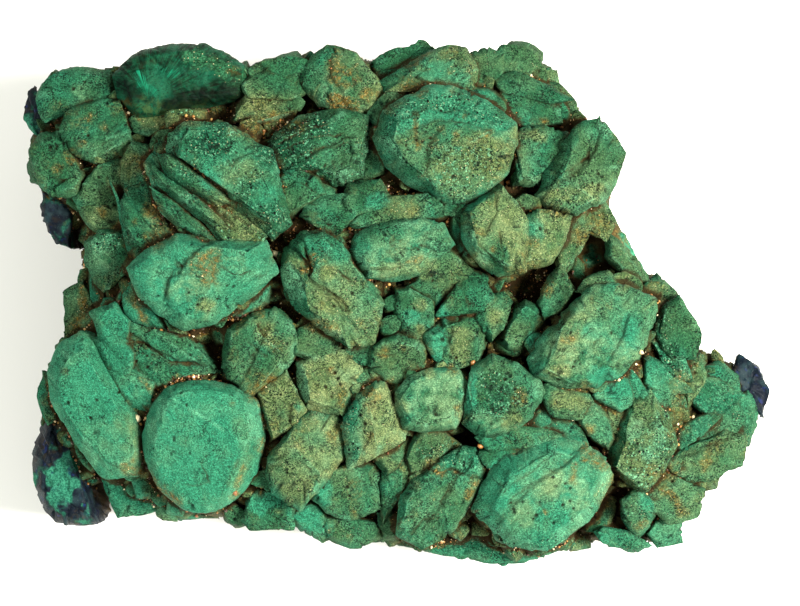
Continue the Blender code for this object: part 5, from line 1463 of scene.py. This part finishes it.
def silky_finish(name):
    """Dark emerald rays with a painted sheen of brighter silk, a drusy part, light stains, and earth and
    painted shade in the crevices.
    """
    b = Board(name)
    rays = ray_noise(b)
    fibres = b.plus(b.times(rays, 0.45), b.times(b.cloud(0.7, 4.0, 0.7), 0.55))
    colour = b.mix(b.span(fibres, 0.40, 0.62), SILK_DARK, SILK_MIDDLE)
    colour = b.mix(b.span(b.cloud(2.6, 3.0), 0.46, 0.66, 0.0, 0.8), colour, SILK_PATCH)
    fine = b.cloud(0.16, 2.0, 0.9)
    colour = b.mix(b.span(fine, 0.56, 0.70, 0.0, 0.8), colour, LIGHTENING, "MULTIPLY")
    colour = b.mix(b.span(fine, 0.46, 0.34, 0.0, 0.8), colour, PIT)
    # Painted sheen: brighter silk along the rays, where the teal measure is high
    silk_shine_share = b.times(b.stored("teal"), b.span(rays, 0.42, 0.58, 0.15, 1.0))
    colour = b.mix(b.span(silk_shine_share, 0.20, 0.85), colour, SILK_SHINE)
    druse = b.mix(b.span(b.grains(0.14)[0], 0.3, 0.9), DRUSE_DARK, DRUSE_BRIGHT)
    druse = b.mix(b.span(b.grains(0.38)[1], 0.16, 0.08), druse, CREAM)
    drusy = b.times(b.stored("pale"), b.span(b.cloud(0.8, 4.0, 0.7), 0.30, 0.55))
    colour = b.mix(b.span(drusy, 0.2, 0.7), colour, druse)
    olive = b.times(b.stored("olive"), b.span(b.cloud(0.6, 4.0, 0.7), 0.38, 0.6))
    colour = b.mix(b.times(olive, 0.5), colour, OLIVE)
    colour = b.mix(b.times(b.stored("rust"), b.span(b.cloud(0.5, 4.0), 0.4, 0.6)), colour, RUST)
    colour = b.mix(b.stored("dark"), colour, SMOKE, "MULTIPLY")
    # Earth and painted shade deep in the crevices
    colour = b.mix(b.span(b.stored("deep"), 0.25, 0.9, 0.0, 0.92), colour, EARTH_AND_SHADE)
    height = b.plus(fibres, b.times(fine, 0.5))
    return b.finish(colour, b.span(fibres, 0.3, 0.7, 0.70, 0.48), height, 0.14, specular=0.05)


finishes["silky"] = silky_finish("silky_fibres")
print("rays round the root:", RAYS)

# %% [markdown]
# ## Azurite and limonite
# Four crystals at the ends are still azurite: nearly black, with a little deep blue and a green crust that
# has begun to cover them. The rock under everything is limonite, an earthy iron ore in browns and ochres.
# Both are layers of noise of different sizes, as their colour has no pattern.

# %% The dark and brown finishes
BLUE_BLACK = (0.002, 0.004, 0.008, 1.0)
SLATE = (0.010, 0.022, 0.025, 1.0)
DEEP_BLUE = (0.006, 0.016, 0.080, 1.0)
CRUST_DARK = (0.008, 0.070, 0.040, 1.0)
CRUST_BRIGHT = (0.026, 0.155, 0.088, 1.0)
BLOOM = (0.09, 0.14, 0.12, 1.0)
ROCK = (0.020, 0.015, 0.005, 1.0)
OCHRE = (0.090, 0.065, 0.018, 1.0)
BRIGHT_OCHRE = (0.170, 0.110, 0.030, 1.0)
WALL_CRUST_DARK = (0.006, 0.075, 0.036, 1.0)
WALL_CRUST_BRIGHT = (0.045, 0.220, 0.115, 1.0)
PALE_GRAIN = (0.34, 0.28, 0.15, 1.0)
BLACK_GRAIN = (0.006, 0.006, 0.003, 1.0)


def azurite_finish(name):
    """Blue-black crystal with faint blue flashes, a grey bloom and patches of green crust."""
    b = Board(name)
    colour = b.mix(b.span(b.cloud(1.3, 4.0), 0.40, 0.65), BLUE_BLACK, SLATE)
    colour = b.mix(b.span(b.cloud(0.8, 4.0), 0.58, 0.72, 0.0, 0.7), colour, DEEP_BLUE)
    crust = b.plus(b.cloud(3.6, 4.0, 0.6), b.times(b.stored("teal"), 0.22))
    crust_tone = b.mix(b.span(b.grains(0.12)[0], 0.2, 0.8), CRUST_DARK, CRUST_BRIGHT)
    colour = b.mix(b.span(crust, 0.54, 0.66, 0.0, 0.9), colour, crust_tone)
    colour = b.mix(b.span(b.cloud(0.16, 2.0, 0.8), 0.62, 0.78, 0.0, 0.5), colour, BLOOM)
    colour = b.mix(b.times(b.stored("rust"), b.span(b.cloud(0.5, 4.0), 0.45, 0.6)), colour, RUST)
    # Earth and painted shade deep in the crevices
    colour = b.mix(b.span(b.stored("deep"), 0.4, 1.0, 0.0, 0.9), colour, EARTH_AND_SHADE)
    height = b.plus(b.cloud(0.25, 3.0, 0.7), b.cloud(1.2))
    return b.finish(colour, b.span(crust, 0.50, 0.62, 0.42, 0.85), height, 0.10, specular=0.06)


def limonite_finish(name):
    """Brown rock: earth and ochre patches, pale and black grains, and green crusts on the outer walls."""
    b = Board(name)
    colour = b.mix(b.span(b.cloud(2.4, 5.0, 0.65), 0.36, 0.66), ROCK, OCHRE)
    colour = b.mix(b.span(b.cloud(0.9, 4.0, 0.7), 0.52, 0.70), colour, BRIGHT_OCHRE)
    crust_tone = b.mix(b.span(b.cloud(0.8, 4.0, 0.7), 0.4, 0.65), WALL_CRUST_DARK, WALL_CRUST_BRIGHT)
    outer = b.span(b.stored("deep"), 0.75, 0.30)
    colour = b.mix(b.times(b.span(b.cloud(5.5, 5.0, 0.62), 0.40, 0.50), outer), colour, crust_tone)
    fine = b.cloud(0.2, 2.0, 0.8)
    colour = b.mix(b.span(fine, 0.60, 0.78, 0.0, 0.5), colour, PALE_GRAIN)
    colour = b.mix(b.span(fine, 0.44, 0.30, 0.0, 0.8), colour, BLACK_GRAIN)
    # Earth and painted shade deep in the crevices
    colour = b.mix(b.span(b.stored("deep"), 0.6, 1.0, 0.0, 0.75), colour, EARTH_AND_SHADE)
    height = b.plus(fine, b.cloud(0.6, 4.0, 0.7))
    return b.finish(colour, 0.9, height, 0.14, specular=0.10)


finishes["azurite"] = azurite_finish("blue_black_crystal")
finishes["limonite"] = limonite_finish("brown_rock")
print("finishes:", ", ".join(finishes))

# %% [markdown]
# ## Every skin in its place
# Each skin becomes one object that rides on the root body and stands for its own solid. The small crystals,
# the crust and the shards have no solids. They are joined by group, because a few meshes are quicker to draw
# and to export than hundreds.

# %% Put the crystals in place
MINERALS = {"crystal_brown_upper": "stained", "crystal_brown_lower": "stained",
            "crystal_fibrous_broken": "silky", BED: "limonite"}
MINERALS.update({name: "azurite" for name in frame["nodes"] if name.startswith("azurite")})

for item in skins + [bed]:
    mineral = MINERALS.get(item["name"], "green")
    add_mesh(item["name"] + "_skin", [item], finishes[mineral], [item["name"]])
for group, (mineral, rows) in small.items():
    add_mesh("small_crystals_" + group, rows, finishes[mineral])
add_mesh("gap_crust", [crust], finishes["crust"])
half = len(shards) // 2
add_mesh("gap_shards_a", shards[:half], finishes["green"])
add_mesh("gap_shards_b", shards[half:], finishes["stained"])
small_total = sum(len(o.data.polygons) for o in bpy.data.objects if o.name.startswith(("small_", "gap_")))
print("triangles in the small crystals, crust and shards:", small_total)

# %% [markdown]
# ## Crumbs in the crevices
# Rusty and golden crumbs lie in every crevice and catch the light. Finer grit clings to the rusty skin round
# them, and a few odd grains are big enough to have places of their own. Each is a lumpy twenty-sided grain,
# as few faces as still look round. Places are drawn from points that lie deep enough, and each heap is one
# mesh.

# %% One grain
def twenty_faces():
    """An icosahedron: the corners of three crossed golden rectangles, and triangles of nearest corners."""
    golden = (1.0 + math.sqrt(5.0)) / 2.0
    corners = np.array([(0, a, b * golden) for a in (-1, 1) for b in (-1, 1)], float)
    corners = np.concatenate((corners, np.roll(corners, 1, axis=1), np.roll(corners, 2, axis=1)))
    gaps = np.linalg.norm(corners[:, None] - corners[None], axis=2)
    touching = (gaps > 0.1) & (gaps < 2.1)
    faces = [(a, b, c) for a in range(12) for b in range(a + 1, 12) for c in range(b + 1, 12)
             if touching[a, b] and touching[b, c] and touching[a, c]]
    faces = np.array(faces)
    first, second, third = (corners[faces[:, k]] for k in range(3))
    wrong = (np.cross(second - first, third - first) * first).sum(1) < 0.0
    faces[wrong] = faces[wrong][:, ::-1]
    return corners / np.linalg.norm(corners[0]), faces


def random_turns(count, rng):
    """Rotation matrices from random unit quaternions."""
    w, x, y, z = (lambda q: (q / np.linalg.norm(q, axis=1)[:, None]).T)(rng.normal(size=(count, 4)))
    return np.stack((
        np.stack((1 - 2 * (y * y + z * z), 2 * (x * y - w * z), 2 * (x * z + w * y)), -1),
        np.stack((2 * (x * y + w * z), 1 - 2 * (x * x + z * z), 2 * (y * z - w * x)), -1),
        np.stack((2 * (x * z - w * y), 2 * (y * z + w * x), 1 - 2 * (x * x + y * y)), -1)), 1)


def heap(places, radii, rng, tone):
    """One part with a grain at each place: corners moved by up to a third, turned, scaled and set down."""
    corners, faces = twenty_faces()
    count = len(places)
    lumps = corners[None] * rng.uniform(0.70, 1.25, (count, 12, 1)) * rng.uniform(0.7, 1.2, (count, 1, 3))
    turned = np.einsum("nij,nkj->nki", random_turns(count, rng), lumps)
    points = turned * radii[:, None, None] + places[:, None]
    all_faces = faces[None] + (np.arange(count) * 12)[:, None, None]
    return dict(points=points.reshape(-1, 3), faces=all_faces.reshape(-1, 3),
                measures=dict(tone=np.repeat(tone, 12)))


print("corners and faces of a grain:", *(len(part) for part in twenty_faces()))

# %% The heaps
CRUMB_COUNT = 8600
GRIT_COUNT = 9600
# Each row: x, y, radius and tone of a grain that stands alone
ODD_GRAINS = ((27.6, 25.4, 0.50, 0.94), (13.7, 41.9, 0.40, 1.00), (64.0, 35.2, 0.28, 0.88),
              (64.4, 35.6, 0.24, 0.86), (50.9, 18.2, 0.38, 0.45), (47.3, 36.2, 0.34, 0.50),
              (23.5, 49.2, 0.45, 0.40), (48.0, 44.6, 0.30, 0.50), (26.1, 43.6, 0.40, 0.42))
GOLDEN = ((0.0, (0.020, 0.010, 0.003)), (0.30, (0.110, 0.035, 0.007)), (0.60, (0.300, 0.130, 0.022)),
          (0.82, (0.480, 0.270, 0.070)), (0.95, (0.800, 0.680, 0.400)))
RUSTY = ((0.0, (0.030, 0.010, 0.003)), (0.35, (0.120, 0.030, 0.006)), (0.65, (0.260, 0.090, 0.014)),
         (0.85, (0.420, 0.200, 0.040)), (0.97, (0.750, 0.600, 0.330)))


def crumb_finish(name, colours):
    """Grain colour by its stored tone, through a ramp of stops; a little gloss for the sparkle."""
    b = Board(name)
    scale = b.add("ShaderNodeValToRGB")
    b.join(b.stored("tone"), scale.inputs["Fac"])
    stops = scale.color_ramp.elements
    while len(stops) < len(colours):
        stops.new(0.5)
    for stop, (place, colour) in zip(stops, colours):
        stop.position = place
        stop.color = (*colour, 1.0)
    return b.finish(scale.outputs["Color"], 0.45, b.cloud(0.12), 0.04, specular=0.6)


rng = np.random.default_rng(77)
candidates = np.concatenate([item["points"] for item in everything])
outwards = np.concatenate([item["outward"] for item in everything])
depths = np.concatenate([item["measures"]["deep"] for item in everything])
patchy = ramp(rough(candidates, 3.0, 3, 301), -0.3, 0.6)
upward = outwards[:, 2] > -0.1
chance = ramp(depths, 0.05, 0.40) * (1.0 - 0.60 * ramp(depths, 0.75, 1.0)) * (0.06 + patchy) * upward
picked = rng.choice(len(candidates), CRUMB_COUNT, replace=False, p=chance / chance.sum())
radii = 0.055 + 0.14 * rng.random(CRUMB_COUNT) ** 2.2
places = candidates[picked] + outwards[picked] * radii[:, None] * 0.35
tones = rng.random(CRUMB_COUNT)
high = height_map(everything)
for across, down, radius, tone in ODD_GRAINS:
    x, y = across - SHEET_CENTRE[0], SHEET_CENTRE[1] - down
    column, row = int(x / CELL + MAP_SIZE[0] / 2), int(y / CELL + MAP_SIZE[1] / 2)
    places = np.append(places, [(x, y, high[column, row] + 0.2 * radius)], axis=0)
    radii, tones = np.append(radii, radius), np.append(tones, tone)
crumbs = heap(places, radii, rng, tones)
add_mesh("limonite_crumbs", [crumbs], crumb_finish("golden_crumbs", GOLDEN))
rusts = np.concatenate([item["measures"]["rust"] for item in everything])
chance = (ramp(depths, 0.02, 0.35) * (0.25 + patchy) + 0.25 * ramp(rusts, 0.5, 1.0)) * upward
picked = rng.choice(len(candidates), GRIT_COUNT, replace=False, p=chance / chance.sum())
radii = 0.035 + 0.06 * rng.random(GRIT_COUNT) ** 2
grit = heap(candidates[picked] + outwards[picked] * radii[:, None] * 0.4, radii, rng, rng.random(GRIT_COUNT))
add_mesh("limonite_grit", [grit], crumb_finish("rusty_grit", RUSTY))
print("crumbs:", CRUMB_COUNT, "grit:", GRIT_COUNT, "triangles:", len(crumbs["faces"]) + len(grit["faces"]))

# %% [markdown]
# ## The floor
# The specimen lies on a plain pale sheet. It is stage, not specimen, so it is one flat square, wide enough
# to fill any view.

# %% Floor
FLOOR_HALF = 3.0
PAPER = (0.95, 0.935, 0.865, 1.0)


def make_floor():
    """A wide flat square just under the cut face."""
    mesh = bpy.data.meshes.new("floor")
    corners = [(x * FLOOR_HALF, y * FLOOR_HALF, 0.0) for x, y in ((-1, -1), (1, -1), (1, 1), (-1, 1))]
    mesh.from_pydata(corners, [], [(0, 1, 2, 3)])
    floor = bpy.data.objects.new("floor", mesh)
    bpy.context.scene.collection.objects.link(floor)
    paper = bpy.data.materials.new("pale_paper")
    paper.use_nodes = True
    shader = paper.node_tree.nodes["Principled BSDF"]
    shader.inputs["Base Color"].default_value = PAPER
    shader.inputs["Roughness"].default_value = 0.9
    mesh.materials.append(paper)
    floor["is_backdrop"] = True
    return floor


make_floor()
print("floor is", 2 * FLOOR_HALF, "m wide")

# %% [markdown]
# ## Light
# A broad lamp high on the right gives soft shading that falls to the left, a weak one on the left opens the
# shadows, and a pale sky fills the rest. One hard lamp would burn out the dull skin and lose the grains.

# %% Light
KEY_PLACE = (0.36, -0.10, 0.46)
KEY_POWER = 12.9
LEFT_PLACE = (-0.36, -0.16, 0.36)
LEFT_POWER = 1.9
LAMP_AIM = (0.0, 0.0, 0.01)
SKY_STRENGTH = 0.63


def add_lamp(name, place, size, power, colour):
    """A square area lamp at a place, turned to face the specimen."""
    lamp = bpy.data.lights.new(name, "AREA")
    lamp.size = size
    lamp.energy = power
    lamp.color = colour
    body = bpy.data.objects.new(name, lamp)
    body.location = place
    body.rotation_euler = direction_angles(np.array(LAMP_AIM) - np.array(place))
    bpy.context.scene.collection.objects.link(body)
    return body


def direction_angles(direction):
    """Euler angles that turn -Z to a direction: tilt about X, then swing about Z."""
    x, y, z = direction / np.linalg.norm(direction)
    return (math.acos(-z), 0.0, math.atan2(-x, y) if abs(x) + abs(y) > 1e-9 else 0.0)


world = bpy.data.worlds.new("pale_sky")
world.use_nodes = True
world.node_tree.nodes["Background"].inputs["Color"].default_value = (1.0, 0.99, 0.96, 1.0)
world.node_tree.nodes["Background"].inputs["Strength"].default_value = SKY_STRENGTH
bpy.context.scene.world = world
add_lamp("key_lamp", KEY_PLACE, 0.18, KEY_POWER, (1.0, 0.985, 0.95))
add_lamp("left_lamp", LEFT_PLACE, 0.25, LEFT_POWER, (0.95, 1.0, 0.99))
print("lamps:", len(bpy.data.lights))

# %% [markdown]
# ## Camera
# The camera looks straight down on the leaning sheet from far away through a long lens, so that near and far
# crystals keep their sizes and the plan sheet's places hold in the view.

# %% Camera
CAMERA_AWAY = 600.0
CAMERA_AIM = np.array((0.5, 0.0, 22.0))
PICTURE_WIDTH = 80.0

camera = bpy.data.cameras.new("camera")
camera.sensor_width = 36.0
camera.lens = camera.sensor_width * CAMERA_AWAY / PICTURE_WIDTH
camera.clip_start = 0.01
camera.dof.use_dof = False
camera_body = bpy.data.objects.new("camera", camera)
camera_body.location = stand((CAMERA_AIM + (0.0, 0.0, CAMERA_AWAY))[None])[0] * MM
camera_body.rotation_euler = (LEAN, 0.0, 0.0)
bpy.context.scene.collection.objects.link(camera_body)
bpy.context.scene.camera = camera_body
bpy.context.scene.view_settings.view_transform = "Standard"
print("camera stands", round(CAMERA_AWAY * MM, 2), "m away")

# %% [markdown]
# ## Sizes
# The skins were moved out by a hair and roughened inwards, so the whole should still be about as big as the
# solid model. How much the box has grown on each side is printed.

# %% Sizes
shown_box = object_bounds()
growth = [round((abs(b) - abs(a)) / MM, 2) for c, v in zip(cad_box, shown_box) for a, b in zip(c, v)]
print("grown by (mm):", growth)
